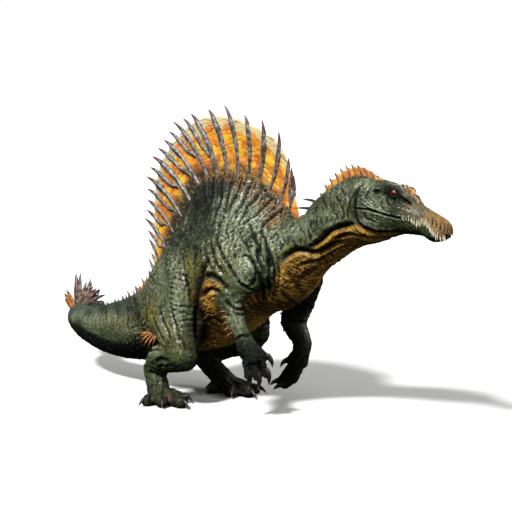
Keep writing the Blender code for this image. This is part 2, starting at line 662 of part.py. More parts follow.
def main():
    """Build the figure."""
    clear_scene()
    scene_root = bpy.context.scene.collection
    pieces = bpy.data.collections.new(FIGURE)
    cutters = bpy.data.collections.new("cutters")
    adds = bpy.data.collections.new("grown forms")
    scene_root.children.link(pieces)
    scene_root.children.link(cutters)
    cutters.children.link(adds)
    origin = bpy.data.objects.new("figure_origin", None)
    pieces.objects.link(origin)
    origin.location = (-BOX_CENTRE_X * MM, -BOX_CENTRE_Y * MM, 0)

    skin, web, limb_paint, eye_paint = paint(SKIN), paint(WEB), paint(LIMB), paint(EYE_PAINT)
    body = place("body", body_form(0.0), pieces, origin, skin)
    clearance = as_guide(place("body_clearance", body_form(GAP), cutters, origin))
    floor = make_floor(cutters, origin)

    make_brows(adds, origin)
    make_teeth(adds, origin)
    make_quills(adds, origin)
    boolean(body, "mouth", "DIFFERENCE", make_mouth(cutters, origin), "MANIFOLD")
    boolean(body, "grown forms", "UNION", adds, "MANIFOLD")
    weld = body.modifiers.new("close slivers", "WELD")
    weld.merge_threshold = WELD * MM
    for comb in make_combs(cutters, origin):
        boolean(body, comb.name, "UNION", comb, "MANIFOLD")
    for socket in make_eye_parts(pieces, cutters, origin, eye_paint):
        boolean(body, socket.name, "DIFFERENCE", socket, "MANIFOLD")

    make_sail(pieces, cutters, origin, web, clearance)
    for name, hulls, ground, ratio in (
        ("leg_right", LEG_RIGHT, floor, LEG_FACES), ("leg_left", LEG_LEFT, floor, LEG_FACES),
        ("arm_right", ARM_RIGHT, None, ARM_FACES), ("arm_left", ARM_LEFT, None, ARM_FACES),
    ):
        make_limb(name, hulls, pieces, cutters, origin, limb_paint, clearance, ground, ratio)


main()
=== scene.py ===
# %% [markdown]
# # A spinosaurus figure, dressed around its cast frame
#
# The object is a solid display figure of a spinosaurus at about 1:35, a resin casting painted by hand. The
# frame that this script loads holds the castings at their true size: body, sail, four limbs, two eyes. Here
# each of them gets its skin, its folds and its paint. The frame itself is never moved.

# %% Load the frame and keep its box
import math

import bmesh
import bpy
import numpy as np
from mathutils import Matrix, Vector
from mathutils.bvhtree import BVHTree


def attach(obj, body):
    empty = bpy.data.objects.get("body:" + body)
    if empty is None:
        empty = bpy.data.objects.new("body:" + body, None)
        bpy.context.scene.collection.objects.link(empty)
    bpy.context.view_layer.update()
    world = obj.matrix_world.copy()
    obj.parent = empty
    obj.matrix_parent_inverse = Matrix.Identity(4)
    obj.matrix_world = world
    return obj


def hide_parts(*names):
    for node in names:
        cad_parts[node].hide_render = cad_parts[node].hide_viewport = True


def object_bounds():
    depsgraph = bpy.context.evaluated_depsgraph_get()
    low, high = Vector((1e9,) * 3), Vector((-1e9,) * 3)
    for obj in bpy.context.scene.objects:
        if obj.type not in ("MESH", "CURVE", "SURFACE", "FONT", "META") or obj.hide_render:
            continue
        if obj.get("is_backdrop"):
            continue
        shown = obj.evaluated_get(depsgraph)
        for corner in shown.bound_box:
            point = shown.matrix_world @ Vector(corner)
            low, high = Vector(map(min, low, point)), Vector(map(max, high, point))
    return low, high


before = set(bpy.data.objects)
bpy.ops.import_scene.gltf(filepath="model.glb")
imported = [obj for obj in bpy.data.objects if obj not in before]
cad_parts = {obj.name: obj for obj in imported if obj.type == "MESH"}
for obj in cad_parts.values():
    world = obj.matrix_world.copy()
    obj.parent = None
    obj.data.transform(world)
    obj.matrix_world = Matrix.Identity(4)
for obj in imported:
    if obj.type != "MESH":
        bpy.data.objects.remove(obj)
CAD_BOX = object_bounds()
print("castings:", ", ".join(sorted(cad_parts)))

# %% [markdown]
# ## Units and axes
#
# A figure like this is drawn in millimetres along the animal: x runs from the tail to the snout, y to its
# left side, z up from the ground. The frame puts its origin under the middle of the figure's box, so one
# shift turns the drawing's numbers into the frame's metres. Keeping the shift in one place means no table
# has to be moved.

# %% Millimetres of the drawing to metres of the frame
MM = 0.001
SHIFT = np.array([9.4, -1.8, 0.0])


def to_frame(points):
    """Points of the drawing, in millimetres, as metres of the frame."""
    return (np.asarray(points, float) + SHIFT) * MM


def new_object(name, points, faces):
    """A mesh object from points in millimetres of the drawing."""
    mesh = bpy.data.meshes.new(name)
    mesh.from_pydata(to_frame(points).tolist(), [], [list(map(int, f)) for f in faces])
    mesh.shade_smooth()
    made = bpy.data.objects.new(name, mesh)
    bpy.context.scene.collection.objects.link(made)
    return made


print("drawing origin in the frame, mm:", SHIFT)

# %% [markdown]
# ## The camera
#
# The photograph looks at the animal's right side from a little in front and a little above. A long lens,
# here 100 mm, keeps the near and far feet almost on one level, as in the picture. The camera comes first
# because the folds further down are drawn in picture coordinates and cast onto the skin along its sight
# lines.

# %% Camera at the photograph's viewing angle
PICTURE = 512
LENS = 100.0
SENSOR = 36.0
AZIMUTH = math.radians(42)
ELEVATION = math.radians(6)
AIM = np.array([26.4, 0.0, 96.0])
DISTANCE = 910.0

BACK = np.array([
    math.sin(AZIMUTH) * math.cos(ELEVATION), -math.cos(AZIMUTH) * math.cos(ELEVATION), math.sin(ELEVATION),
])
RIGHT = np.array([math.cos(AZIMUTH), math.sin(AZIMUTH), 0.0])
UP = np.cross(BACK, RIGHT)
EYE_POINT = AIM + BACK * DISTANCE
PIXELS_PER_SLOPE = PICTURE * LENS / SENSOR

lens = bpy.data.cameras.new("camera")
lens.lens = LENS
lens.sensor_width = SENSOR
camera = bpy.data.objects.new("camera", lens)
bpy.context.scene.collection.objects.link(camera)
camera.location = to_frame(EYE_POINT)
camera.rotation_mode = "QUATERNION"
camera.rotation_quaternion = Vector(-BACK).to_track_quat("-Z", "Y")
bpy.context.scene.camera = camera


def sight_line(u, v):
    """The direction, in the drawing, in which the camera sees a point of the picture."""
    across = (u - PICTURE / 2) / PIXELS_PER_SLOPE
    down = (v - PICTURE / 2) / PIXELS_PER_SLOPE
    return RIGHT * across - UP * down - BACK


print("camera stands", round(DISTANCE), "mm from the figure's middle")

# %% [markdown]
# ## The body's form
#
# On a real casting the trunk is one flowing mass, so it is lofted: a section every centimetre or two gives
# the top, the widest level, the bottom and the half width, and a smooth curve runs through all of them. A
# pinch of 0.5 makes a half section elliptical, more draws it to a keel, less makes it boxy. The castings in
# the frame were made from the same stations, so this finer skin lies on them.

# %% Stations of the body
# x, y, top, widest level, bottom, half width, pinch of the upper half, pinch of the lower half.
STATIONS = (
    (-190, 62, 41.0, 39.0, 37.0, 1.6, 0.5, 0.5), (-187, 56, 42.0, 38.5, 34.5, 3.6, 0.6, 0.5),
    (-180, 38, 43.5, 38.0, 32.0, 6.2, 0.65, 0.5), (-168, 20, 45.0, 37.0, 28.5, 8.6, 0.7, 0.5),
    (-149, 8, 46.5, 36.0, 24.5, 10.8, 0.7, 0.5), (-128, 2, 49.0, 35.0, 19.5, 13.0, 0.7, 0.5),
    (-110, 0, 53.0, 35.0, 17.0, 15.5, 0.75, 0.5), (-92, 0, 59.0, 37.0, 16.0, 18.5, 0.8, 0.5),
    (-74, 0, 67.5, 42.0, 17.0, 22.5, 0.85, 0.5), (-58, 0, 86.0, 50.0, 20.0, 27.0, 1.0, 0.5),
    (-45, 0, 104.0, 57.0, 23.5, 31.0, 1.1, 0.48), (-33, 0, 120.0, 63.0, 27.0, 33.5, 1.2, 0.47),
    (-19, 0, 138.0, 69.0, 30.0, 35.0, 1.3, 0.46), (-3, 0, 142.5, 74.0, 34.0, 36.0, 1.3, 0.46),
    (13, 0, 143.0, 79.0, 43.0, 36.0, 1.3, 0.46), (28, 0, 140.5, 85.0, 55.0, 34.5, 1.25, 0.46),
    (40, 0, 132.0, 89.0, 61.0, 31.5, 1.0, 0.46), (51, 0, 124.5, 93.0, 63.5, 27.5, 0.75, 0.46),
    (62, 0, 122.0, 98.0, 70.5, 23.0, 0.6, 0.46), (72, 0, 125.0, 104.0, 80.0, 19.5, 0.55, 0.46),
    (80, 0, 134.5, 111.0, 89.5, 18.0, 0.55, 0.46), (90, 0, 141.5, 118.0, 96.0, 17.5, 0.6, 0.46),
    (101, 0, 147.0, 124.0, 103.0, 17.8, 0.6, 0.44), (112, 0, 149.0, 127.0, 108.0, 18.2, 0.52, 0.42),
    (123, 0, 147.8, 128.5, 110.5, 17.0, 0.42, 0.4), (133, 0, 146.0, 129.0, 114.0, 14.4, 0.38, 0.4),
    (142, 0, 142.5, 128.0, 116.8, 11.6, 0.38, 0.42), (150, 0, 137.0, 126.0, 117.0, 9.4, 0.42, 0.42),
    (158, 0, 133.2, 123.5, 116.2, 7.8, 0.45, 0.42), (165, 0, 130.0, 121.0, 113.4, 8.4, 0.45, 0.42),
    (171, 0, 127.0, 120.0, 114.6, 7.6, 0.45, 0.45), (174.2, 0, 124.0, 120.0, 117.0, 4.6, 0.5, 0.5),
    (175.2, 0, 122.0, 120.5, 119.0, 2.2, 0.5, 0.5),
)
SEAT_LEVEL = 0.95          # above this share of a section's height the back is flat, a seat for the sail
BODY_SIDES = 88
BODY_STEPS = 7
TAIL_BEND_X = -140.0       # behind this the tail turns to the far side
BACK_ROW = 40              # the blended rows from this one on give the height of the back


def smooth_rows(rows, steps):
    """Rows of numbers with more rows blended in between by a curve that passes through them all."""
    rows = np.asarray(rows, float)
    made = []
    for i in range(len(rows) - 1):
        before, start = rows[max(i - 1, 0)], rows[i]
        end, after = rows[i + 1], rows[min(i + 2, len(rows) - 1)]
        rise, fall = (end - before) / 2, (after - start) / 2
        for t in np.arange(steps) / steps:
            made.append(
                start * (2 * t**3 - 3 * t**2 + 1) + rise * (t**3 - 2 * t**2 + t)
                + end * (3 * t**2 - 2 * t**3) + fall * (t**3 - t**2)
            )
    return np.array(made + [rows[-1]])


def loft_faces(rings, sides):
    """Quads between closed rings of equal size, with a cap at each end."""
    faces = []
    for i in range(rings - 1):
        for k in range(sides):
            n = (k + 1) % sides
            faces.append((i * sides + k, i * sides + n, (i + 1) * sides + n, (i + 1) * sides + k))
    faces.append(tuple(range(sides))[::-1])
    faces.append(tuple(range((rings - 1) * sides, rings * sides)))
    return faces


def body_loft():
    """Points and faces of the trunk, tail, neck and head as one loft."""
    heading = np.gradient(BODY_ROWS[:, :2], axis=0)
    heading /= np.linalg.norm(heading, axis=1)[:, None]
    angle = 2 * math.pi * (np.arange(BODY_SIDES) + 0.5) / BODY_SIDES
    side, height = np.cos(angle), np.sin(angle)
    points = []
    for (x, y, top, level, bottom, half, pinch_up, pinch_down), (hx, hy) in zip(BODY_ROWS, heading):
        upper = (top - level) * np.minimum(height / SEAT_LEVEL, 1.0)
        rise = np.where(height >= 0, upper, (level - bottom) * height)
        power = np.where(height >= 0, 2 * pinch_up, 2 * pinch_down)
        reach = half * np.sign(side) * np.abs(side) ** power
        points.append(np.stack([x - hy * reach, y + hx * reach, level + rise], axis=1))
    return np.concatenate(points), loft_faces(len(BODY_ROWS), BODY_SIDES)


def body_row_at(x):
    """The section's numbers at a place ahead of the tail's bend."""
    rows = BODY_ROWS[BODY_ROWS[:, 0] > TAIL_BEND_X]
    return np.array([np.interp(x, rows[:, 0], rows[:, k]) for k in range(8)])


def side_reach(x, z):
    """Half the body's width at a place and a height."""
    _, _, top, level, bottom, half, pinch_up, pinch_down = body_row_at(x)
    above = z >= level
    share = (z - level) / (top - level) * SEAT_LEVEL if above else (level - z) / (level - bottom)
    return half * max(1 - share**2, 0.0) ** (pinch_up if above else pinch_down)


def back_top(x):
    """The height of the back at a place."""
    return np.interp(x, BODY_ROWS[BACK_ROW:, 0], BODY_ROWS[BACK_ROW:, 2])


BODY_ROWS = smooth_rows(STATIONS, BODY_STEPS)
body_points, body_faces = body_loft()
print("body loft:", len(body_points), "points")

# %% [markdown]
# ## The limbs' forms
#
# Limbs are built the way a sculptor lays up clay: rounded lumps for each mass, wrapped together in small
# groups by a convex hull, so that thigh, shin, ankle and toes each read as one muscle. The groups overlap
# and are melted into one skin later. Hulls keep the long flat planes between two joints that spheres alone
# would lose.

# %% Lumps of the four limbs
# Each lump is x, y, z and its half sizes. One tuple of lumps is wrapped in one hull.
LIMBS = {
    "leg_right": (
        (
            (-26, -20, 71, 17, 15, 24), (-8, -24, 76, 15, 14, 21), (-21, -31, 54, 17, 11, 14),
            (-4, -37, 38, 12, 9, 11),
        ),
        ((-2, -38, 33, 10.5, 9.5, 10.5), (-20, -36, 29, 11, 9.5, 9.5)),
        ((-20, -36, 29, 11, 9.5, 9.5), (-35, -32, 20, 7, 7.5, 7)),
        ((-35, -32, 20, 7, 7.5, 7), (-23, -39, 6.0, 8, 7.5, 6.9)),
        ((-22, -42, 5.0, 5.5, 5, 5.8), (-21, -52, 3.0, 3.6, 3.6, 3.6)),
        ((-19, -42, 5.0, 5.5, 5, 5.8), (-10, -49, 3.1, 3.8, 3.8, 3.8)),
        ((-18, -39, 5.0, 5.5, 5, 5.8), (0, -42, 3.2, 3.9, 3.9, 3.9)),
        ((-20, -36, 5.0, 5.5, 5, 5.8), (-10, -30, 3.0, 3.6, 3.6, 3.6)),
    ),
    "leg_left": (
        (
            (-25, 20, 71, 17, 15, 24), (-10, 22, 73, 15, 14, 21), (-22, 30, 57, 17, 11, 14),
            (-6, 34, 44, 12, 9, 11),
        ),
        ((-5, 34, 40, 10.5, 9.5, 10.5), (-10, 32, 32, 10, 9, 9), (-26, 30, 29, 10, 9, 9)),
        ((-26, 30, 29, 10, 9, 9), (-44, 24, 19, 7, 7, 7)),
        ((-44, 24, 19, 7, 7, 7), (-14, 15, 6.2, 8, 7.5, 7.1)),
        ((-10, 18, 5.0, 5.5, 5, 5.8), (5, 23, 3.1, 3.8, 3.8, 3.8)),
        ((-9, 15, 5.0, 5.5, 5, 5.8), (10, 11, 3.2, 3.9, 3.9, 3.9)),
        ((-11, 12, 5.0, 5.5, 5, 5.8), (1, 4, 3.1, 3.8, 3.8, 3.8)),
        ((-16, 12, 5.0, 5.5, 5, 5.8), (-18, 4, 3.0, 3.6, 3.6, 3.6)),
    ),
    "arm_right": (
        ((48, -27, 91, 12.5, 11, 14), (45, -33, 84, 10, 9, 10)),
        ((45, -33, 84, 10, 9, 10), (38, -38, 72, 8.6, 8, 9)),
        ((38, -38, 72, 8.4, 7.8, 8.8), (42, -38, 63, 7.4, 7, 7.6)),
        ((42, -38, 63, 7.4, 7, 7.6), (49.5, -37, 50, 5.6, 5.2, 5.6)),
        ((49.5, -37, 50, 5.6, 5.2, 5.6), (55.5, -35.5, 39, 6.4, 5, 6.4)),
        ((53.5, -37.5, 37, 3.2, 3.0, 3.2), (54.3, -38.5, 27, 2.3, 2.3, 2.4)),
        ((56.5, -35.5, 37, 3.2, 3.0, 3.2), (58.6, -35, 26.5, 2.3, 2.3, 2.4)),
        ((58.5, -33, 39, 3.2, 3.0, 3.2), (61.8, -30.5, 28, 2.3, 2.3, 2.4)),
        ((55, -34, 45, 3.2, 3.0, 3.2), (61, -28.8, 38.5, 2.2, 2.2, 2.3)),
    ),
    "arm_left": (
        ((46, 25, 81, 12.5, 11, 14), (37, 33, 65, 9.4, 8.8, 10)),
        ((37, 33, 65, 9.4, 8.8, 10), (27, 36, 50, 8.8, 8, 9)),
        ((27, 36, 50, 8.8, 8, 8.8), (38.5, 32.5, 37, 6.2, 5.8, 6)),
        ((38.5, 32.5, 37, 6.2, 5.8, 6), (38.5, 28.5, 26, 6.6, 5.6, 6.4)),
        ((36, 27, 24, 3.2, 3.0, 3.2), (34.5, 23, 15, 2.7, 2.7, 2.8), (29, 21, 12, 2.4, 2.4, 2.4)),
        ((38.5, 27, 22, 3.2, 3.0, 3.2), (36.5, 24.5, 13, 2.7, 2.7, 2.8), (31.5, 22, 9.5, 2.4, 2.4, 2.4)),
        ((41, 27, 24, 3.2, 3.0, 3.2), (39.5, 22.5, 14.5, 2.7, 2.7, 2.8), (35, 19.5, 10.5, 2.4, 2.4, 2.4)),
        ((35, 30.5, 31, 3.2, 3.0, 3.2), (30, 27.5, 25, 2.2, 2.2, 2.3)),
    ),
}
LUMP_RINGS = 10
LUMP_SIDES = 18


def wrap_lumps(lumps):
    """Points and faces of the convex hull round a few lumps."""
    bm = bmesh.new()
    for x, y, z, rx, ry, rz in lumps:
        for lift in np.linspace(-math.pi / 2, math.pi / 2, LUMP_RINGS + 1):
            for turn in np.arange(LUMP_SIDES) * 2 * math.pi / LUMP_SIDES:
                flat = math.cos(lift)
                level = x + rx * flat * math.cos(turn), y + ry * flat * math.sin(turn)
                bm.verts.new((*level, z + rz * math.sin(lift)))
    bmesh.ops.remove_doubles(bm, verts=bm.verts, dist=0.001)
    bmesh.ops.convex_hull(bm, input=bm.verts)
    loose = [v for v in bm.verts if not v.link_faces]
    bmesh.ops.delete(bm, geom=loose, context="VERTS")
    bm.verts.index_update()
    points = np.array([v.co for v in bm.verts])
    faces = [tuple(v.index for v in f.verts) for f in bm.faces]
    bm.free()
    return points, faces


limb_hulls = {name: [wrap_lumps(group) for group in groups] for name, groups in LIMBS.items()}
print("hulls wrapped:", {name: len(hulls) for name, hulls in limb_hulls.items()})

# %% [markdown]
# ## One skin over everything
#
# Trunk, limbs, brows and the root of the sail are joined and melted by a voxel remesh, which wraps one
# closed skin of even quads round whatever it is given. That is what a sculptor's clay does at the armpit
# and the groin, where a Boolean would leave a hard line. Even quads also carry the folds and scales that
# are pressed in next.

# %% Added masses: brows, eyelids, the foot of the sail
EYE = (141.6, 8.6, 141.6)
EYE_RADIUS = 2.5
EYELID_RADIUS = 3.9
GAZE = np.array([0.42, 0.88, 0.12])      # which way the left eye looks: ahead, outward, up
BROW = ((130, 8.2, 142.4, 5.5, 4.0, 3.0), (140, 6.8, 141.6, 5.0, 3.4, 2.2), (149, 3.9, 135.2, 4.5, 2.4, 1.6))
SAIL_FOOT_X = np.linspace(-68, 60, 60)
SAIL_FOOT_EASE = 8.0       # mm over which the ridge rises at both ends
SAIL_FOOT_PROFILE = ((9.0, -9.0), (4.6, -2.0), (2.3, 2.5), (1.3, 6.0))   # half width, height over the back


def sail_foot():
    """The ridge of skin that climbs from the back onto the web."""
    points = []
    for x in SAIL_FOOT_X:
        top = back_top(x)
        ease = min(1.0, (x - SAIL_FOOT_X[0]) / SAIL_FOOT_EASE, (SAIL_FOOT_X[-1] - x) / SAIL_FOOT_EASE)
        section = [(half, top + (rise if rise < 0 else rise * ease)) for half, rise in SAIL_FOOT_PROFILE]
        ring = section + [(-half, z) for half, z in reversed(section)]
        points += [(x, y, z) for y, z in ring]
    return np.array(points), loft_faces(len(SAIL_FOOT_X), 2 * len(SAIL_FOOT_PROFILE))


def eye_place(side):
    """The middle of an eyeball and the way it looks."""
    facing = GAZE * np.array([1, side, 1])
    return np.array([EYE[0], side * EYE[1], EYE[2]]), facing / np.linalg.norm(facing)


def face_lumps():
    """Brow ridges and the round lids of both eyes."""
    made = []
    for side in (-1, 1):
        made.append(wrap_lumps([(x, side * y, z, *sizes) for x, y, z, *sizes in BROW]))
        made.append(wrap_lumps([(EYE[0], side * (EYE[1] - 0.8), EYE[2], *[EYELID_RADIUS] * 3)]))
    return made


def join_forms(forms):
    """Several closed forms as one list of points and one of faces."""
    points, faces, count = [], [], 0
    for form_points, form_faces in forms:
        points.append(form_points)
        faces += [tuple(index + count for index in face) for face in form_faces]
        count += len(form_points)
    return np.concatenate(points), faces


forms = [(body_points, body_faces), sail_foot()] + face_lumps()
for hulls in limb_hulls.values():
    forms += hulls
clay_points, clay_faces = join_forms(forms)
print("forms to melt together:", len(forms))

# %% Melt them with a voxel remesh
SKIN_GRAIN = 0.78      # mm between neighbouring points of the skin


def evaluated_mesh(made):
    """A mesh with its object's modifiers applied."""
    settled = made.evaluated_get(bpy.context.evaluated_depsgraph_get())
    return bpy.data.meshes.new_from_object(settled)


clay = new_object("clay", clay_points, clay_faces)
melt = clay.modifiers.new("melt", "REMESH")
melt.mode = "VOXEL"
melt.voxel_size = SKIN_GRAIN * MM
skin_mesh = evaluated_mesh(clay)
bpy.data.objects.remove(clay)
print("skin after melting:", len(skin_mesh.vertices), "points")

# %% [markdown]
# The head is a quarter of the figure's length and carries most of its detail, so its quads are split once
# more. Splitting only there keeps the whole skin light. The new points lie on flat quads, so the smoothing
# in the next step runs over the head again.

# %% Split the quads of the head
HEAD_BACK_X = 104.0    # where the finer skin of the head starts

bm = bmesh.new()
bm.from_mesh(skin_mesh)
bpy.data.meshes.remove(skin_mesh)
head_limit = (HEAD_BACK_X + SHIFT[0]) * MM
head_edges = [e for e in bm.edges if e.verts[0].co.x > head_limit and e.verts[1].co.x > head_limit]
bmesh.ops.subdivide_edges(bm, edges=head_edges, cuts=1, use_grid_fill=True)
bmesh.ops.triangulate(bm, faces=[f for f in bm.faces if len(f.verts) > 4])
bm.verts.index_update()
skin_points = np.array([v.co for v in bm.verts]) / MM - SHIFT
skin_edges = np.array([(e.verts[0].index, e.verts[1].index) for e in bm.edges])
skin_faces = [tuple(v.index for v in f.verts) for f in bm.faces]
bm.free()
print("skin with a fine head:", len(skin_points), "points,", len(skin_faces), "faces")

# %% [markdown]
# ## Smoothing
#
# A voxel remesh leaves small steps. Moving each point to the middle of its neighbours removes them but also
# shrinks toes and fingers, so every smoothing step is followed by a slightly longer step outward, which
# keeps the volume. The same neighbour average is used later to find hollows and ridges, so it is a function
# of its own.

# %% Neighbour averages and smoothing that keeps the volume
links_from = np.concatenate([skin_edges[:, 0], skin_edges[:, 1]])
links_to = np.concatenate([skin_edges[:, 1], skin_edges[:, 0]])
link_count = np.bincount(links_from, minlength=len(skin_points)).astype(float)


def neighbour_mean(values):
    """The average of each point's neighbours, for one number or three per point."""
    if values.ndim == 1:
        return np.bincount(links_from, values[links_to], minlength=len(values)) / link_count
    return np.stack([neighbour_mean(values[:, k]) for k in range(values.shape[1])], axis=1)


def soften(values, rounds, share=1.0):
    """Values spread over the skin by repeated averaging."""
    for _ in range(rounds):
        values = values + (neighbour_mean(values) - values) * share
    return values


def smooth_keeping_volume(points, rounds, inward=0.5, outward=-0.52):
    """Points without the steps of the remesh."""
    for _ in range(rounds):
        points = soften(points, 1, inward)
        points = soften(points, 1, outward)
    return points


def normals_of(points):
    """The direction straight out of the skin at each point."""
    corners = points[TRIANGLES]
    facing = np.cross(corners[:, 1] - corners[:, 0], corners[:, 2] - corners[:, 0])
    total = np.zeros_like(points)
    for k in range(3):
        for axis in range(3):
            total[:, axis] += np.bincount(TRIANGLES[:, k], facing[:, axis], minlength=len(points))
    return total / np.maximum(np.linalg.norm(total, axis=1), 1e-9)[:, None]


TRIANGLES = np.array([
    (face[0], face[k], face[k + 1]) for face in skin_faces for k in range(1, len(face) - 1)
])
skin_points = smooth_keeping_volume(skin_points, 10)
skin_normals = normals_of(skin_points)
base_points = skin_points.copy()
base_normals = skin_normals.copy()
print("triangles in the skin:", len(TRIANGLES))

# %% [markdown]
# ## Repeatable randomness
#
# Skin needs irregularity at many sizes. Two classic fields give it: value noise, smooth hills and dips, and
# cell noise, the distance to scattered seeds, which draws scales with furrows between them. Both take their
# random numbers from the grid cell's own coordinates, so the figure comes out the same on every run.

# %% Value noise and cell noise
def grid_random(cell, seed):
    """A number from 0 to 1 that belongs to a whole-numbered grid cell."""
    mixed = cell[..., 0] * 374761393 + cell[..., 1] * 668265263 + cell[..., 2] * 1442695041 + seed * 974711
    mixed &= 0xFFFFFFFF
    mixed = ((mixed ^ (mixed >> 13)) * 1274126177) & 0xFFFFFFFF
    return ((mixed ^ (mixed >> 16)) & 0xFFFF) / 65535.0


def hills(points, size, seed):
    """Smooth noise from -1 to 1 with hills about as wide as size, in millimetres."""
    scaled = points / size + 1000.0
    cell = np.floor(scaled).astype(np.int64)
    t = scaled - cell
    t = t * t * (3 - 2 * t)
    total = np.zeros(len(points))
    for corner in np.ndindex(2, 2, 2):
        weight = np.prod(np.where(np.array(corner) == 1, t, 1 - t), axis=1)
        total += weight * grid_random(cell + np.array(corner), seed)
    return total * 2 - 1


def rough_hills(points, size, seed, octaves=3):
    """Noise with finer noise on top of it."""
    total = sum(hills(points, size / 2**k, seed + k) / 2**k for k in range(octaves))
    return total / (2 - 0.5 ** (octaves - 1))


def scale_field(points, size, seed):
    """Distance to the nearest seed and to the next one, in scale widths."""
    scaled = points / size + 1000.0
    cell = np.floor(scaled).astype(np.int64)
    first = np.full(len(points), 9.0)
    second = np.full(len(points), 9.0)
    for corner in np.ndindex(3, 3, 3):
        near = cell + np.array(corner) - 1
        spot = near + np.stack([grid_random(near, seed + k) for k in (11, 23, 37)], axis=1)
        gap = np.sqrt(((spot - scaled) ** 2).sum(axis=1))
        second = np.minimum(second, np.maximum(first, gap))
        first = np.minimum(first, gap)
    return first, second


def ramp(values, low, high):
    """0 below low, 1 above high, a soft step between."""
    t = np.clip((values - low) / (high - low), 0, 1)
    return t * t * (3 - 2 * t)


print("noise on three points:", np.round(hills(skin_points[:3], 10.0, 1), 3))

# %% [markdown]
# ## Where the ribs run
#
# The long spines of the sail stand in the back and show through the skin of the hump as raised streaks.
# Their curves are settled here, before the folds, because both the sail and the hump are shaped along them.

# %% The curves that web and ribs share
SAIL_EDGE = (
    (-72, 67), (-67, 88), (-68, 110), (-67, 131), (-63, 149), (-53, 164), (-39, 175.5), (-22, 182),
    (-4, 183.5), (14, 181), (31, 175), (46, 166), (54, 152), (58, 139), (61, 130), (63, 121.5),
)
EDGE_SHARES = (0.0, 0.11, 0.93, 1.0)       # rear foot, first rib, last rib, front foot
FOOT_XS = (-72.0, -61.0, 53.0, 62.5)       # where those leave the back
RIB_COUNT = 15
RIB_STEP = (EDGE_SHARES[2] - EDGE_SHARES[1]) / (RIB_COUNT - 1)
RIB_BOW = 0.05                             # how far a rib bows forward, as a share of its length
FOOT_DEPTH = 1.0                           # mm from the back down to the foot of the web
BOW_POWER = math.log(0.5) / math.log(0.6)  # puts the deepest bow at six tenths of the height

edge_rows = smooth_rows(SAIL_EDGE, 12)
edge_steps = np.concatenate([[0], np.cumsum(np.linalg.norm(np.diff(edge_rows, axis=0), axis=1))])
edge_share = edge_steps / edge_steps[-1]


def sail_point(share, height):
    """A point of the sail's middle sheet, and the length of the line from back to edge there."""
    foot_x = np.interp(share, EDGE_SHARES, FOOT_XS)
    foot = np.stack([foot_x, back_top(foot_x) - FOOT_DEPTH], axis=-1)
    edge = np.stack([np.interp(share, edge_share, edge_rows[:, k]) for k in range(2)], axis=-1)
    along = edge - foot
    bow = np.stack([along[..., 1], -along[..., 0]], axis=-1) * RIB_BOW
    height = np.asarray(height, float)[..., None]
    spot = foot + along * height + bow * np.sin(math.pi * np.clip(height, 0, 1) ** BOW_POWER)
    return spot, np.linalg.norm(along, axis=-1)


def rib_beat(share):
    """Counts the ribs along the edge: 0 at the first, a whole number at each."""
    return (share - EDGE_SHARES[1]) / (EDGE_SHARES[2] - EDGE_SHARES[1]) * (RIB_COUNT - 1)


def beat_share(beat):
    """The share of the edge at which a rib with this number stands."""
    return EDGE_SHARES[1] + (EDGE_SHARES[2] - EDGE_SHARES[1]) * beat / (RIB_COUNT - 1)


print("edge of the sail, mm:", round(float(edge_steps[-1])))

# %% [markdown]
# ## Folds drawn on the photograph
#
# The deep folds of throat, jaw, shoulder and flank are what one knows this animal by. Each is written as a
# few picture coordinates, cast onto the skin along the camera's sight lines and smoothed into a line in
# space. A crease pushes the skin in along the line and raises a lip on both sides, a ridge pushes it out.
# Folds of the head, neck and trunk are mirrored to the far side, because the animal is the same on both.

# %% Lines cast from the picture onto the skin
LINE_STEP = 0.5        # mm between the points of a cast line
LINE_CHUNK = 64        # points of a line that are measured at a time
FACING_STEP = 8        # the skin's direction is asked for at every eighth of them
SAME_SIDE = 0.1        # a point counts where its own direction and the line's agree at least so far

skin_tree = BVHTree.FromPolygons([Vector(p) for p in skin_points], skin_faces)


def cast_point(u, v):
    """Where the camera's sight line meets the skin, or None."""
    direction = Vector(sight_line(u, v)).normalized()
    hit = skin_tree.ray_cast(Vector(EYE_POINT), direction)[0]
    return None if hit is None else np.array(hit)


def cast_line(pixels):
    """A smooth line on the skin under a few picture coordinates."""
    path = smooth_rows(pixels, 12)
    hits = [cast_point(u, v) for u, v in path]
    return even_line(np.array([hit for hit in hits if hit is not None]))


def on_skin(points, what=0):
    """The nearest places on the skin or, with what = 1, the skin's directions there."""
    return np.array([np.array(skin_tree.find_nearest(Vector(p))[what]) for p in points])


def even_line(points):
    """The same line with points at even steps."""
    steps = np.linalg.norm(np.diff(points, axis=0), axis=1)
    along = np.concatenate([[0], np.cumsum(steps)])
    wanted = np.arange(0, along[-1], LINE_STEP)
    return np.stack([np.interp(wanted, along, points[:, k]) for k in range(3)], axis=1)


def mirrored(line):
    """The line on the other side of the animal, laid on the skin there."""
    return on_skin(line * np.array([1, -1, 1]))


def near_line(line, reach):
    """The skin points within reach of a line: indices, distances, and places along it in millimetres."""
    low, high = line.min(axis=0) - reach, line.max(axis=0) + reach
    inside = np.flatnonzero(np.all((base_points > low) & (base_points < high), axis=1))
    best = np.full(len(inside), 1e9)
    place = np.zeros(len(inside), int)
    for start in range(0, len(line), LINE_CHUNK):
        gap = np.linalg.norm(base_points[inside][:, None] - line[None, start:start + LINE_CHUNK], axis=2)
        nearest = gap.argmin(axis=1)
        closer = gap[np.arange(len(inside)), nearest] < best
        place[closer] = nearest[closer] + start
        best = np.minimum(best, gap.min(axis=1))
    keep = best < reach
    inside, best, place = inside[keep], best[keep], place[keep]
    facing = on_skin(line[::FACING_STEP], 1)[np.minimum(place // FACING_STEP, (len(line) - 1) // FACING_STEP)]
    same_side = (base_normals[inside] * facing).sum(axis=1) > SAME_SIDE
    return inside[same_side], best[same_side], place[same_side] * LINE_STEP


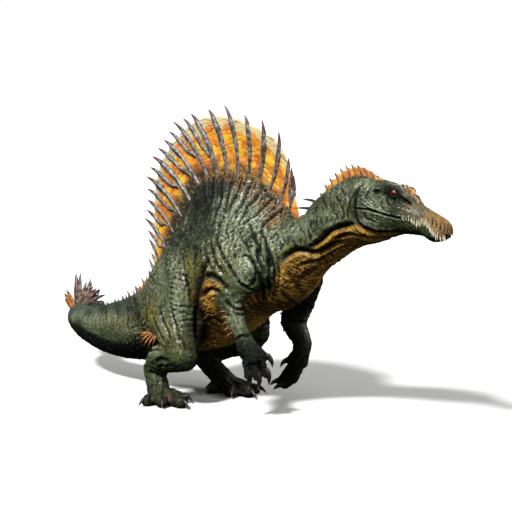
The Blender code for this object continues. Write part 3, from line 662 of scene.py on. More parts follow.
push = np.zeros(len(skin_points))      # how far each point moves out along its normal, mm
fold_shade = np.zeros(len(skin_points))       # how much painted shade lies in the folds
LIP = 0.32                             # height of the lips beside a crease, as a share of its depth


def press_line(line, width, depth, crease_shade, fading=False):
    """Press a crease with painted shade, or raise a ridge where depth is negative; it may fade towards its
    end.
    """
    inside, gap, along = near_line(line, width * 4.5)
    length = len(line) * LINE_STEP
    ends = np.clip(np.minimum(along, length - along) / min(6.0, length / 3), 0.05, 1) ** 0.6
    if fading:
        ends = ends * (1 - 0.8 * ramp(along, 0.35 * length, length))
    wobble = 1 + 0.25 * hills(base_points[inside], 5.0, 3)
    core = np.exp(-((gap / (width * wobble)) ** 2)) * ends
    lip = np.exp(-(((gap - 2.1 * width) / (0.9 * width)) ** 2)) * ends
    push[inside] += depth * (LIP * lip - core) if depth > 0 else -depth * core
    # Painted shade along the crease's core.
    fold_shade[inside] = np.maximum(fold_shade[inside], crease_shade * core)
    return inside, core, along


def press_fold(width, depth, crease_shade, pixels, both_sides):
    """A fold given in picture coordinates, on the near side or on both."""
    line = cast_line(pixels)
    press_line(line, width, depth, crease_shade)
    if both_sides:
        press_line(mirrored(line), width, depth, crease_shade)


# %% Folds of the head and the neck
# Width, depth, painted shade in the fold, then the picture coordinates.
HEAD_FOLDS = (
    (1.2, 2.0, 1.1, ((366, 181.5), (359, 187), (355.5, 195.5), (355, 204), (355, 213), (357, 220.5),
        (363.5, 228), (370, 231))),
    (0.9, 0.9, 0.7, ((365, 182.5), (357, 190), (352, 197.5), (350.5, 206.5), (352, 215), (355, 221.5))),
    (1.5, 2.2, 1.0, ((309, 249), (322, 240), (329, 232.5), (337.5, 228), (348.5, 225), (355, 224))),
    (1.3, 1.8, 1.0, ((355, 224), (360.5, 226.5), (368, 230.5), (377, 233), (388, 233), (399, 232))),
    (1.0, 1.3, 0.8, ((333, 240), (341, 236), (350.5, 233.5), (359.5, 236), (372, 239.5), (388, 238.5))),
    (1.6, 2.2, 1.0, ((282, 261), (287, 255.5), (294.5, 251), (303.5, 250.5), (311, 253), (320, 251),
        (331, 245), (341, 241))),
    (1.1, 1.2, 0.8, ((300, 276), (308, 271), (317, 267), (328, 263), (335, 258))),
    (1.0, 1.0, 0.8, ((296, 268), (306, 263), (316, 261), (326, 256), (338, 249), (350, 245))),
    (0.8, 0.7, 0.5, ((341, 187), (343, 192), (346, 196))),
    (0.8, 0.7, 0.5, ((333.5, 195.5), (337, 199), (341, 203))),
    (0.8, 0.6, 0.5, ((322.5, 200), (326, 205), (328, 210))),
    (0.8, 0.8, 0.5, ((348.5, 196), (350, 204), (347.5, 213), (349, 219.5))),
    (0.8, 0.8, 0.5, ((342, 206.5), (344, 215), (342, 222))),
    (0.8, 0.7, 0.4, ((335, 209), (337, 217), (334, 225))),
    (0.6, 0.6, 0.6, ((388, 196), (387, 201), (389, 206))),
    (0.6, 0.6, 0.6, ((394, 196), (394.5, 201), (394, 206))),
    (0.6, 0.6, 0.6, ((399, 196.5), (399.5, 200), (399.5, 204))),
    (0.6, 0.6, 0.7, ((404, 197), (405, 199), (405, 202))),
    (0.6, 0.7, 0.9, ((406, 201.5), (409, 203), (412, 203.5))),
    (0.5, 0.5, 0.5, ((440, 222), (441, 227), (440, 231))),
    (0.5, 0.5, 0.5, ((444, 221), (445.5, 227), (444.5, 232))),
    (0.5, 0.5, 0.5, ((447.5, 223), (449, 228), (448, 231.5))),
    (0.5, 0.4, 0.4, ((435.5, 219), (436.5, 224), (435.5, 228))),
    (0.9, -0.9, 0.0, ((382, 179), (388, 182), (396, 185.5), (403, 190.5), (408, 195.5), (414.5, 199),
        (421, 202))),
    (1.6, -1.0, 0.0, ((361, 190), (359.5, 200), (360.5, 211), (365, 221), (372, 226))),
    (0.8, 0.6, 0.5, ((372, 185), (369, 190), (366, 196), (365, 201))),
    (0.7, 0.5, 0.4, ((382, 184), (378, 187), (374, 187))),
    (1.2, 1.6, 1.2, ((373.5, 192.5), (376, 191.5), (379, 191.5))),
    (1.1, 1.5, 1.2, ((397, 194), (402, 198.5), (406, 201), (411, 203.5))),
    (0.9, 1.0, 0.9, ((383, 185.5), (389, 186), (395, 188.5), (398, 192))),
    (1.4, 1.0, 1.5, ((385.5, 193), (386.5, 189.8), (389.5, 187.8), (393.5, 187.5))),
    (0.7, 0.6, 0.6, ((359, 209), (364, 214), (368, 219), (375, 223))),
    (0.7, 0.6, 0.6, ((362, 205), (368, 209), (374, 211), (381, 213))),
    (0.6, 0.5, 0.5, ((383, 199), (381, 205), (384, 210))),
    (0.6, 0.5, 0.4, ((431.5, 217), (432.5, 222), (431, 227))),
)
for fold in HEAD_FOLDS:
    press_fold(*fold, True)
print("folds pressed into head and neck:", len(HEAD_FOLDS))

# %% Folds of the trunk, the tail and the near limbs
TRUNK_FOLDS = (
    (1.2, 1.5, 0.8, ((248.5, 254), (255, 264.5), (258, 273.5), (261.5, 281), (263, 292), (262, 300))),
    (1.1, 1.4, 0.8, ((261, 230), (265, 240), (268, 252), (269.5, 266), (268, 280), (269, 294))),
    (1.1, 1.2, 0.8, ((250, 224), (252.5, 234), (257, 244), (262, 254), (266, 262))),
    (1.0, 1.2, 0.8, ((269, 250), (273, 263), (275, 276), (274, 290), (272, 300))),
    (1.0, 1.0, 0.7, ((276.5, 262), (279, 273), (277.5, 287), (276, 298))),
    (0.9, 0.9, 0.6, ((239.5, 236.5), (247, 246.5), (251.5, 256))),
    (1.1, 1.2, 0.7, ((219, 230), (217.5, 241), (222.5, 254.5), (229, 266), (236, 277.5))),
    (1.0, 1.1, 0.7, ((211.5, 243), (213, 254), (218, 266), (224.5, 273.5))),
    (1.0, 1.0, 0.6, ((206, 251), (208, 262), (214, 271))),
    (1.4, 1.8, 1.0, ((202.5, 281), (209, 276), (216.5, 278.5), (223, 284.5), (229.5, 289))),
    (1.3, 1.6, 0.9, ((202.5, 297), (209, 290), (216.5, 291), (222, 295.5))),
    (1.2, 1.3, 0.9, ((205, 322), (211.5, 318), (219, 321), (227, 328.5), (231, 332))),
    (0.8, 0.8, 0.6, ((208, 336), (214, 333), (221, 332))),
    (1.0, 1.0, 0.6, ((204, 271), (210, 264), (216, 262))),
    (2.0, 2.4, 1.3, ((208, 262), (203, 271), (199.5, 282), (197.5, 295), (197, 310), (197, 326),
        (198, 340))),
    (1.2, 1.2, 0.9, ((203, 268), (207, 262), (214, 259))),
    (1.1, 1.1, 0.7, ((146, 308), (147, 318.5), (150, 326.5))),
    (1.1, 1.0, 0.7, ((139, 306), (139.5, 314), (141, 322), (141.5, 330))),
    (1.1, 1.0, 0.8, ((133.5, 297), (135.5, 307), (134.5, 318), (137, 328))),
    (1.0, 0.7, 0.6, ((127, 305), (128, 315), (127, 325), (129, 333))),
    (1.0, 0.6, 0.5, ((117, 308), (118, 318), (116.5, 329))),
    (1.0, 0.6, 0.5, ((106, 311), (106.5, 320), (104.5, 329))),
    (1.6, 0.5, 0.6, ((284, 266), (291, 278), (299, 288), (304, 298))),
    (1.5, 0.5, 0.6, ((276, 284), (284, 295), (292, 302), (300, 306))),
    (1.7, 0.7, 0.9, ((296, 282), (304, 276), (312, 271), (321, 266))),
    (1.2, 0.4, 0.6, ((300, 263), (306, 270), (309, 278))),
    (1.3, 0.4, 0.6, ((271, 300), (284, 303), (300, 302), (312, 294), (320, 283))),
    (1.2, 1.4, 1.0, ((262, 240), (258, 250), (260, 262), (265, 272))),
)
LIMB_FOLDS = (
    (1.0, 1.2, 0.8, ((235.5, 278.5), (242, 285), (248.5, 289), (255, 291.5))),
    (1.0, 1.1, 0.8, ((223, 299), (232, 306.5), (239.5, 309.5), (247.5, 308))),
    (0.8, 0.7, 0.5, ((224, 303), (231, 310.5), (239, 314), (246, 314))),
    (0.9, 1.0, 0.7, ((235.5, 340), (241, 336.5), (248.5, 336), (251.5, 334.5))),
    (0.9, -0.8, 0.0, ((248.5, 338), (257.5, 346), (264, 355.5), (270, 362.5))),
    (0.8, -0.6, 0.0, ((243, 341), (246, 352), (246.5, 364))),
    (0.8, -0.6, 0.0, ((247, 340), (253, 352), (256, 364))),
    (1.2, 1.3, 0.9, ((153, 362), (160.5, 359), (168.5, 361.5))),
    (1.0, 0.9, 0.7, ((150, 352), (156, 349.5), (162, 351))),
    (0.9, -0.9, 0.0, ((154, 373), (155, 381), (153.5, 390))),
    (0.9, -0.9, 0.0, ((160.5, 371), (161.5, 381), (162, 393))),
    (0.9, -0.9, 0.0, ((167, 373), (169.5, 382), (175, 391))),
    (1.1, 1.1, 0.7, ((186, 277.5), (189, 289), (190.5, 302), (190, 316))),
    (1.0, 0.9, 0.6, ((160, 306), (163, 318), (168, 330), (172, 342))),
    (1.0, 0.8, 0.6, ((152, 312), (156, 322), (161, 333), (166, 345))),
    (0.9, 0.8, 0.6, ((178, 334), (183, 342), (186, 352))),
    (1.0, 0.9, 0.6, ((170, 300), (173, 315), (177, 330), (180, 345))),
    (0.8, 1.1, 1.0, ((152.5, 388), (151, 396), (149.5, 404))),
    (0.8, 1.1, 1.0, ((163, 388), (163.5, 396), (163, 404))),
    (0.8, 1.0, 1.0, ((171, 386), (174, 393), (177, 400))),
    (0.8, 1.2, 1.1, ((249, 360), (250.5, 368), (251.5, 376))),
    (0.8, 1.2, 1.1, ((257.5, 358), (260, 367), (261.5, 375))),
    (0.8, 0.9, 0.9, ((242, 352), (244, 361), (245.5, 371))),
    (0.8, 1.2, 1.1, ((300, 352), (293, 361), (286, 370), (279, 378))),
    (0.8, 1.0, 1.0, ((304, 356), (298, 366), (291, 375), (283, 383))),
    (0.9, -0.9, 0.0, ((222, 300), (229, 308), (234.5, 318), (238, 330))),
    (0.8, 1.0, 0.9, ((205, 380), (214, 385), (222, 391), (229, 396))),
    (0.8, 1.0, 0.9, ((216, 376), (227, 383), (238, 389), (247, 394))),
)
for fold in TRUNK_FOLDS:
    press_fold(*fold, True)
for fold in LIMB_FOLDS:
    press_fold(*fold, False)
print("folds pressed into the trunk:", len(TRUNK_FOLDS), "and the near limbs:", len(LIMB_FOLDS))

# %% Streaks of the ribs down the hump
STREAK_START = 5       # mm above the foot of the web
STREAK_SAMPLES = 40
MEANDER = 0.3          # how far a streak strays, as a share of the way to the next rib


def streak(beat, side, reach):
    """A line on the hump that carries a rib's curve on below the web, reach millimetres long."""
    _, length = sail_point(beat_share(beat), 0.0)
    way = np.linspace(STREAK_START, -reach, STREAK_SAMPLES)
    meander = MEANDER * RIB_STEP * np.sin(0.21 * way + 2.1 * beat)
    spots, _ = sail_point(beat_share(beat) + meander * ramp(-way, 4, 14), way / length)
    return even_line(on_skin([(sx, side * (side_reach(sx, sz) + 0.5), sz) for sx, sz in spots]))


rib_paint = np.zeros(len(skin_points))       # dark horn paint on the upper end of a streak
streak_light = np.zeros(len(skin_points))    # painted highlight on its lower end
for beat in range(1, RIB_COUNT - 1):
    for side in (-1, 1):
        reach = 30 + 6 * math.sin(beat * 1.9)
        own = streak(beat + 0.12 * math.sin(beat * 7.0), side, reach)
        inside, core, along = press_line(own, 0.95, -0.9, 0.0, True)
        rib_paint[inside] = np.maximum(rib_paint[inside], ramp(core, 0.15, 0.5) * (1 - ramp(along, 12, 20)))
        streak_light[inside] = np.maximum(streak_light[inside], core * ramp(along, 10, 18))
        press_line(streak(beat + 0.5, side, reach), 1.2, 0.85, 0.6, True)
        press_line(streak(beat + 0.25, side, reach - 8), 0.8, -0.6, 0.0, True)
print("streaks on each side of the hump:", RIB_COUNT - 2)

# %% [markdown]
# ## Which part of the animal a point belongs to
#
# Wrinkles run round a limb but across the trunk, so every point needs to know what it lies on. The distance
# to the forms that were melted together answers that: a point belongs to a limb where the limb's own hulls
# are nearer than the trunk. The answer is kept as a share from 0 to 1, so that one pattern fades into the
# next.

# %% Shares of trunk and limbs
def tree_of(points, faces):
    """A search tree over a form's faces."""
    return BVHTree.FromPolygons([Vector(p) for p in points], faces)


def distance_to(tree, points):
    """Distances from points to a form."""
    return np.array([tree.find_nearest(Vector(p))[3] for p in points])


trunk_tree = tree_of(body_points, body_faces)
limb_share = {}
for name, hulls in limb_hulls.items():
    hull_points, hull_faces = join_forms(hulls)
    low, high = hull_points.min(axis=0) - 3, hull_points.max(axis=0) + 3
    close = np.flatnonzero(np.all((base_points > low) & (base_points < high), axis=1))
    to_limb = distance_to(tree_of(hull_points, hull_faces), base_points[close])
    to_trunk = distance_to(trunk_tree, base_points[close])
    limb_share[name] = np.zeros(len(base_points))
    limb_share[name][close] = ramp(to_trunk - to_limb, -0.5, 2.5)
any_limb = np.clip(sum(limb_share.values()), 0, 1)
trunk_share = 1 - any_limb
print("points on limbs:", {name: int((share > 0.5).sum()) for name, share in limb_share.items()})

# %% [markdown]
# ## Muscles, wrinkles and scales
#
# Between the drawn folds the skin is never smooth. Three layers fill it: a few soft swellings for muscle
# and bone, wrinkles that cross the direction in which each part bends, and rounded scales. A wrinkle is the
# narrow foot of a folded wave, so its furrow is sharp and its back broad, as in loose hide. Scales are 1.7
# and 2.7 mm here, larger than on a real animal at this scale, because smaller ones would vanish in the
# picture.

# %% Swellings
# Centre, half sizes and height in millimetres. The first group is on both sides. The second is on one side
# only: muscles of the near leg, the arms and the far thigh, and last a hollow that lowers the far brow.
PAIRED_SWELLINGS = (
    ((118, -14, 124), (9, 8, 11), 0.9), ((112, -15, 131), (6, 5, 7), 0.8),
    ((95, -14, 126), (10, 8, 9), 0.7), ((-3, -30, 96), (16, 10, 20), 1.4),
    ((-40, -22, 84), (12, 10, 16), 1.2), ((30, -30, 104), (10, 10, 14), 1.2),
    ((12, -34, 66), (12, 8, 12), 1.0), ((58, -20, 84), (8, 8, 9), 0.9),
    ((-78, -18, 40), (10, 8, 10), 0.8),
)
SINGLE_SWELLINGS = (
    ((-20, -44, 60), (9, 8, 22), 1.2), ((2, -47, 42), (9, 6, 8), 1.0), ((-30, -40, 30), (7, 6, 7), 0.9),
    ((38, -46, 72), (5, 5, 6), 0.8), ((44, -44, 58), (5, 5, 8), 0.7), ((-10, 46, 46), (9, 6, 9), 0.9),
    ((50, -40, 43), (3.5, 4, 8), 1.8), ((144, 7, 144.3), (5, 4, 4), -1.8),
)


def swell(centre, sizes, height):
    """A soft swelling of the skin."""
    gap = ((base_points - np.array(centre)) / np.array(sizes)) ** 2
    return height * np.exp(-gap.sum(axis=1))


for centre, sizes, height in PAIRED_SWELLINGS:
    push += swell(centre, sizes, height)
    push += swell((centre[0], -centre[1], centre[2]), sizes, height)
for centre, sizes, height in SINGLE_SWELLINGS:
    push += swell(centre, sizes, height)
push += 0.55 * rough_hills(base_points, 16.0, 5)
print("largest push so far, mm:", round(float(push.max()), 2))

# %% The round pad of the near shoulder
SHOULDER_PAD = (245, 271)          # picture coordinates of its middle
PAD_HALF_SIZES = (9.0, 13.5)       # in picture coordinates: across and down


def shoulder_pad(centre, across, down, share):
    """A raised oval with rings of wrinkles, bounded by a furrow; also how much painted shade the furrow
    holds.
    """
    offset = base_points - centre
    ahead, below, inward = offset @ across, offset @ down, offset @ np.cross(across, down) * 0.06
    radius = np.sqrt(ahead**2 + below**2 + inward**2) * (1 + 0.16 * hills(base_points, 7.0, 9))
    dome = np.clip(1 - radius**2, 0, 1) ** 0.6
    furrow = np.exp(-(((radius - 1.08) / 0.13) ** 2))
    rings = (1 - np.abs(np.sin(math.pi * (radius * 3.6 + 1.3 * hills(base_points, 4.5, 8))))) ** 2
    front = ramp(ahead + 0.4 * below, -0.5, 0.4)
    return (0.9 * dome - 1.5 * furrow * front - 0.45 * rings * (radius < 1)) * share, furrow * front * share


pad_centre = cast_point(*SHOULDER_PAD)
pixel_mm = DISTANCE / PIXELS_PER_SLOPE
across = RIGHT / (PAD_HALF_SIZES[0] * pixel_mm)
down = UP / (PAD_HALF_SIZES[1] * pixel_mm)
pad_push, pad_shade = shoulder_pad(pad_centre, across, down, ramp(base_normals @ BACK, 0.0, 0.4))
push += pad_push
# Painted shade in the furrow round the pad.
fold_shade = np.maximum(fold_shade, 0.8 * pad_shade)
print("shoulder pad at, mm:", np.round(pad_centre, 1))

# %% Wrinkles across each part
def wrinkles(along, spacing, wander, seed, patches):
    """Furrows across a direction, from -1 in a furrow to 0, wandering and broken into patches."""
    phase = along / spacing + wander * rough_hills(base_points, spacing * 2.6, seed, 2)
    furrow = (1 - np.abs(np.sin(math.pi * phase))) ** 2.4
    return -furrow * ramp(hills(base_points, patches, seed + 9), -0.5, 0.35)


x, y, z = base_points.T
head_share = ramp(x, 100, 112)
neck_share = ramp(x, 56, 70) * (1 - head_share) * trunk_share
tail_share = (1 - ramp(x, -82, -66)) * trunk_share
torso_share = trunk_share * (1 - head_share) * (1 - neck_share) * (1 - tail_share)
paw_share = any_limb * (1 - ramp(z, 12, 24)) + limb_share["arm_right"] * (1 - ramp(z, 40, 48))

arm_share = limb_share["arm_right"] + limb_share["arm_left"]

# Depth at each point, the direction crossed, spacing, wander, seed and size of the patches.
WRINKLE_LAYERS = (
    (1.0 * neck_share, x * 0.8 + z * 0.6, 5.0, 0.9, 21, 9.0),
    (1.1 * torso_share, x + 0.3 * z, 5.2, 1.2, 31, 12.0),
    (0.55 * torso_share, x * 0.5 - z, 3.6, 1.0, 41, 7.0),
    (0.8 * tail_share, x + 0.15 * z, 6.0, 0.9, 51, 12.0),
    ((0.85 - 0.4 * arm_share) * any_limb, z - 0.2 * x, 3.9, 0.9, 61, 12.0),
    (0.45 * any_limb, x + y * 0.3, 3.0, 0.9, 66, 6.0),
    (0.45 * paw_share, x + z, 1.9, 0.5, 71, 5.0),
    (0.35 * head_share, x * 0.7 + z, 2.4, 0.9, 81, 5.0),
)
for depth, *layer in WRINKLE_LAYERS:
    push += depth * wrinkles(*layer)
stretched = base_points / np.array([1.0, 1.0, 3.0])
crags = (1 - np.abs(rough_hills(stretched, 3.2, 91, 3))) ** 4
push += 0.75 * (torso_share + 0.5 * neck_share + 0.3 * any_limb) * ramp(z, 70, 110) * (crags - 0.4)
print("wrinkles pressed; deepest push, mm:", round(float(push.min()), 2))

# %% Fine creases before and behind the shoulder
# Picture coordinates of the middle, half sizes, the crease direction in shares of x and z, spacing, depth.
CREASED = (
    (266, 262, 14, 44, 1.0, 0.25, 2.7, 1.5), (232, 252, 12, 30, 1.0, 0.55, 2.6, 1.1),
    (206, 275, 12, 22, 1.0, 0.2, 2.4, 0.9), (300, 272, 22, 26, 0.8, 1.0, 3.0, 1.2),
    (177, 300, 9, 46, 0.25, 1.0, 2.9, 1.3), (240, 232, 16, 14, 1.0, -0.5, 2.6, 1.0),
    (340, 205, 14, 22, 1.0, 0.5, 3.2, 0.9), (148, 310, 8, 22, 1.0, 0.1, 2.4, 1.0),
)


def picture_spot(points):
    """Picture coordinates of points of the drawing."""
    ray = points - EYE_POINT
    depth = -(ray @ BACK)
    u = PICTURE / 2 + PIXELS_PER_SLOPE * (ray @ RIGHT) / depth
    return u, PICTURE / 2 - PIXELS_PER_SLOPE * (ray @ UP) / depth


mirror_side = np.where(base_points[:, 1] > 0, -1.0, 1.0)
twin = np.stack([np.ones(len(x)), mirror_side, np.ones(len(x))], axis=1)
pu, pv = picture_spot(base_points * twin)
toward_camera = ramp((base_normals * twin) @ BACK, -0.1, 0.25)
for k, (u, v, wide, high, along_x, along_z, spacing, depth) in enumerate(CREASED):
    here = np.exp(-((((pu - u) / wide) ** 2 + ((pv - v) / high) ** 2) ** 2)) * toward_camera
    push += depth * here * wrinkles(along_x * x + along_z * z, spacing, 0.8, 400 + 7 * k, 5.0)
print("creased regions on each side:", len(CREASED))

# %% Scales
SCALE_WARP = 0.5       # how far the grid of scales is shaken, in scale widths


def scales(size, seed):
    """Rounded scales, 1 on their backs and 0 in the furrows between them."""
    shake = np.stack([hills(base_points, size * 1.7, seed + k) for k in range(3)], axis=1)
    first, second = scale_field(base_points + SCALE_WARP * size * shake, size, seed)
    return ramp(second - first, 0.02, 0.42)


coarse_scales = scales(2.7, 101)
fine_scales = scales(1.7, 131)
coarse_share = np.clip(torso_share + 0.6 * neck_share + 0.7 * tail_share + 0.35 * any_limb, 0, 1)
scale_height = coarse_share * 0.5 * coarse_scales + (0.22 + 0.08 * any_limb) * fine_scales
scale_height *= 1 - 0.45 * ramp(x, 146, 160)
push += scale_height - scale_height.mean()
print("scales raised by up to, mm:", round(float(scale_height.max()), 2))

# %% [markdown]
# ## Mouth, ear opening and eye sockets
#
# The mouth of this animal is shut along a wavy line with a notch near the front, where the teeth of the
# rosette lie outside the lower jaw. It is the sharpest crease of all. The eye sockets are pressed round the
# eyeballs of the frame: skin in front of the ball is drawn back inside it, and the ring round it stays up
# as the eyelid.

# %% The mouth
MOUTH_LINE = (
    (118, 131.9), (122, 131.7), (128, 131.5), (135, 129.6), (142, 127.9), (148, 126.9), (153, 126.6),
    (157, 124.9), (162, 126.4), (166, 123.9), (170, 119.4), (173, 117.6),
)
MOUTH_FRONT = (175.4, 117.2)
MOUTH_WIDTH = 0.55
MOUTH_DEPTH = 1.2
# How dark the painted shade in the mouth's crease is.
MOUTH_SHADE = 1.1

mouth_rows = smooth_rows(MOUTH_LINE, 6)
mouth_right = [(mx, -side_reach(mx, mz), mz) for mx, mz in mouth_rows]
mouth_left = [(mx, -my, mz) for mx, my, mz in reversed(mouth_right)]
mouth_front = [(MOUTH_FRONT[0], my, MOUTH_FRONT[1]) for my in (-2.6, 0.0, 2.6)]
mouth_path = on_skin(even_line(np.array(mouth_right + mouth_front + mouth_left)))
press_line(mouth_path, MOUTH_WIDTH, MOUTH_DEPTH, MOUTH_SHADE)
print("mouth line, mm:", round(len(mouth_path) * LINE_STEP))

# %% Move the skin, open the eye sockets, flatten the soles
OPENING = (0.68, 1.02)     # where the opening ends and where the lid is whole again, in radians
LID_FLATTEN = 1.35         # how much lower the opening is than wide
SOCKET_BACK = 0.62         # how far back the skin is drawn, as a share of the eyeball's radius
SOLE_LEVEL = 0.02          # mm above the ground
DEEPEST, HIGHEST = -3.4, 4.0

skin_points = base_points + base_normals * np.clip(push, DEEPEST, HIGHEST)[:, None]
socket = np.zeros(len(skin_points))
for side in (-1, 1):
    centre, facing = eye_place(side)
    offset = skin_points - centre
    reach = np.linalg.norm(offset, axis=1)
    direction = offset / reach[:, None]
    ahead = direction @ facing
    tilt = np.sqrt(np.maximum((1 - ahead**2) + (LID_FLATTEN**2 - 1) * direction[:, 2] ** 2, 0))
    angle = np.where(ahead > 0, tilt, 9.0)
    close = reach < EYELID_RADIUS * 1.7
    opened = (1 - ramp(angle, *OPENING)) * close
    wanted = np.minimum(reach, EYE_RADIUS * SOCKET_BACK)
    skin_points += direction * ((wanted - reach) * opened)[:, None]
    socket = np.maximum(socket, opened + np.exp(-((reach / (EYELID_RADIUS * 1.45)) ** 4)) * 0.9)
socket = np.clip(socket, 0, 1)
skin_points[:, 2] = np.maximum(skin_points[:, 2], SOLE_LEVEL)
skin_normals = normals_of(skin_points)
print("skin spans, mm:", np.round(skin_points.min(axis=0), 1), np.round(skin_points.max(axis=0), 1))

# %% [markdown]
# ## Where each paint goes
#
# The paint goes on in layers: a base coat, painted shade in the furrows, on the undersides and on the inner
# sides of the limbs, and painted highlights on the ridges. The furrows and ridges are found from the skin
# itself, as the gap between a point and the average of its neighbours. The zones of other colours are
# worked out here too, and all are stored on the points for the material to read.

# %% Furrows and ridges
edge_length = np.linalg.norm(skin_points[links_from] - skin_points[links_to], axis=1)
grain = np.bincount(links_from, edge_length, minlength=len(skin_points)) / link_count


def hollowness(rounds):
    """How deep a point lies below the average of its surroundings, in grains of the skin."""
    return ((soften(skin_points, rounds) - skin_points) * skin_normals).sum(axis=1) / grain


fine_hollow = soften(hollowness(2), 1, 0.5)
broad_hollow = hollowness(14)
print("hollowness, fine and broad:", round(float(fine_hollow.std()), 3), round(float(broad_hollow.std()), 3))

# %% Zones of paint
# The line between green hide and ochre belly in picture coordinates, and the rim under the tail.
BELLY_EDGE = (
    (399, 231), (388, 233), (377, 233), (368, 230), (360, 226), (352, 225), (344, 226), (337, 228),
    (329, 233), (322, 240), (314, 246), (309, 249), (302, 250), (295, 251), (288, 256), (282, 262),
    (277, 272), (272, 288),
)
FLANK_EDGE = ((232, 282), (224, 284), (214, 281), (205, 279))
TAIL_RIM = (
    (150, 332), (138, 341), (128, 343.5), (117, 342.5), (107, 339.5), (96, 335), (86, 329.5), (78, 324),
)


def side_line(pixels):
    """A boundary as x and z on the near side, sorted along the body."""
    spots = np.array([hit for hit in (cast_point(u, v) for u, v in pixels) if hit is not None])
    return spots[np.argsort(spots[:, 0])][:, [0, 2]]


chest_edge = side_line(BELLY_EDGE)
flank_edge = side_line(FLANK_EDGE)
tail_rim = side_line(TAIL_RIM)
belly_edge = np.concatenate([[(-60.0, 24.0), (-45.0, 34.0)], flank_edge, chest_edge])
belly_height = np.interp(x, belly_edge[:, 0], belly_edge[:, 1])
ragged = 2.2 * rough_hills(base_points, 7.0, 201)
flank = ramp(np.abs(y), 16, 26)
belly_start = flank * ramp(x, 1, 8) + (1 - flank) * ramp(x, -50, -30)
belly = ramp(belly_height - z + ragged, -2.0, 3.0) * trunk_share * belly_start * (1 - ramp(x, 138, 150))
rim_height = np.interp(x, tail_rim[:, 0], tail_rim[:, 1])
# Painted shade: below the rim the underside of the tail is nearly black.
tail_under_shade = ramp(rim_height - z + 0.4 * ragged, -1.0, 1.5) * trunk_share * (1 - ramp(x, -58, -46))
rim_gap = (z - rim_height - 1.8 + 0.5 * ragged) / 1.5
tail_band = np.exp(-(rim_gap**2)) * ramp(hills(base_points, 3.0, 205), -0.3, 0.4) * trunk_share
tail_band *= 1 - ramp(x, -66, -52)
tail_band *= ramp(x, -160, -140)
print("belly line from", np.round(belly_edge[0]), "to", np.round(belly_edge[-1]))

# %% Spots of paint, placed by the picture: colour, painted highlights and painted shade
FRAY = 2.2       # how far the borders of the spots stray, in picture coordinates

pu += FRAY * rough_hills(base_points, 6.0, 211)
pv += FRAY * rough_hills(base_points, 6.0, 221)
faces_camera = ramp((skin_normals * twin) @ BACK, -0.15, 0.25)


def spots(rows):
    """Soft ovals of paint: middle across and down, half sizes, strength, all in picture coordinates."""
    total = np.zeros(len(pu))
    for u, v, wide, high, strength in rows:
        gap = ((pu - u) / wide) ** 2 + ((pv - v) / high) ** 2
        total = np.maximum(total, strength * np.exp(-(gap ** 1.5)))
    return total * faces_camera


# Painted highlights where the light falls on hump, shoulder, thigh, forearm, cheek and snout.
PAINTED_LIGHT_SPOTS = (
    (155, 351, 9, 6, 0.4), (228, 258, 9, 10, 0.5), (250, 262, 9, 10, 0.6), (145, 292, 12, 12, 0.35),
    (100, 318, 28, 8, 0.35), (75, 312, 12, 7, 0.35), (213, 262, 8, 8, 0.5), (232, 250, 16, 8, 0.4),
    (160, 280, 8, 26, 0.45), (245, 248, 22, 12, 0.5), (245, 271, 8, 12, 0.6), (328, 218, 18, 10, 0.4),
    (286, 281, 9, 8, 0.5), (279, 292, 7, 6, 0.5), (310, 256, 10, 4, 0.5), (236, 316, 7, 18, 1.0),
    (132, 330, 22, 10, 0.3), (242, 264, 12, 14, 0.8), (250, 218, 26, 17, 1.0), (232, 240, 14, 18, 0.75),
    (268, 240, 15, 20, 0.7), (240, 200, 22, 14, 0.6), (300, 230, 18, 9, 0.7), (312, 222, 12, 9, 0.5),
    (340, 190, 14, 10, 0.35), (364, 184, 10, 6, 0.8), (376, 208, 13, 12, 0.65), (370, 222, 12, 6, 0.7),
    (399, 187, 12, 3.5, 1.0), (410, 195, 8, 4, 0.7), (177, 292, 7, 40, 0.8), (175, 262, 7, 14, 0.8),
    (164, 325, 6, 18, 0.5), (247, 285, 4, 4, 0.8), (290, 262, 10, 10, 0.2), (325, 240, 16, 5, 0.45),
)
OLIVE_SPOTS = (
    (205, 268, 15, 14, 0.9), (190, 276, 6, 26, 0.9), (226, 258, 12, 22, 0.8), (150, 314, 9, 18, 0.9),
    (168, 332, 14, 16, 0.7), (238, 258, 10, 8, 0.6), (212, 292, 12, 8, 0.8), (292, 250, 16, 6, 0.8),
    (322, 238, 16, 4, 0.7), (340, 212, 14, 14, 0.3), (182, 345, 12, 12, 0.5), (276, 262, 6, 12, 0.5),
    (130, 326, 22, 10, 0.5), (107, 322, 16, 8, 0.4), (384, 232, 20, 3, 0.3),
)
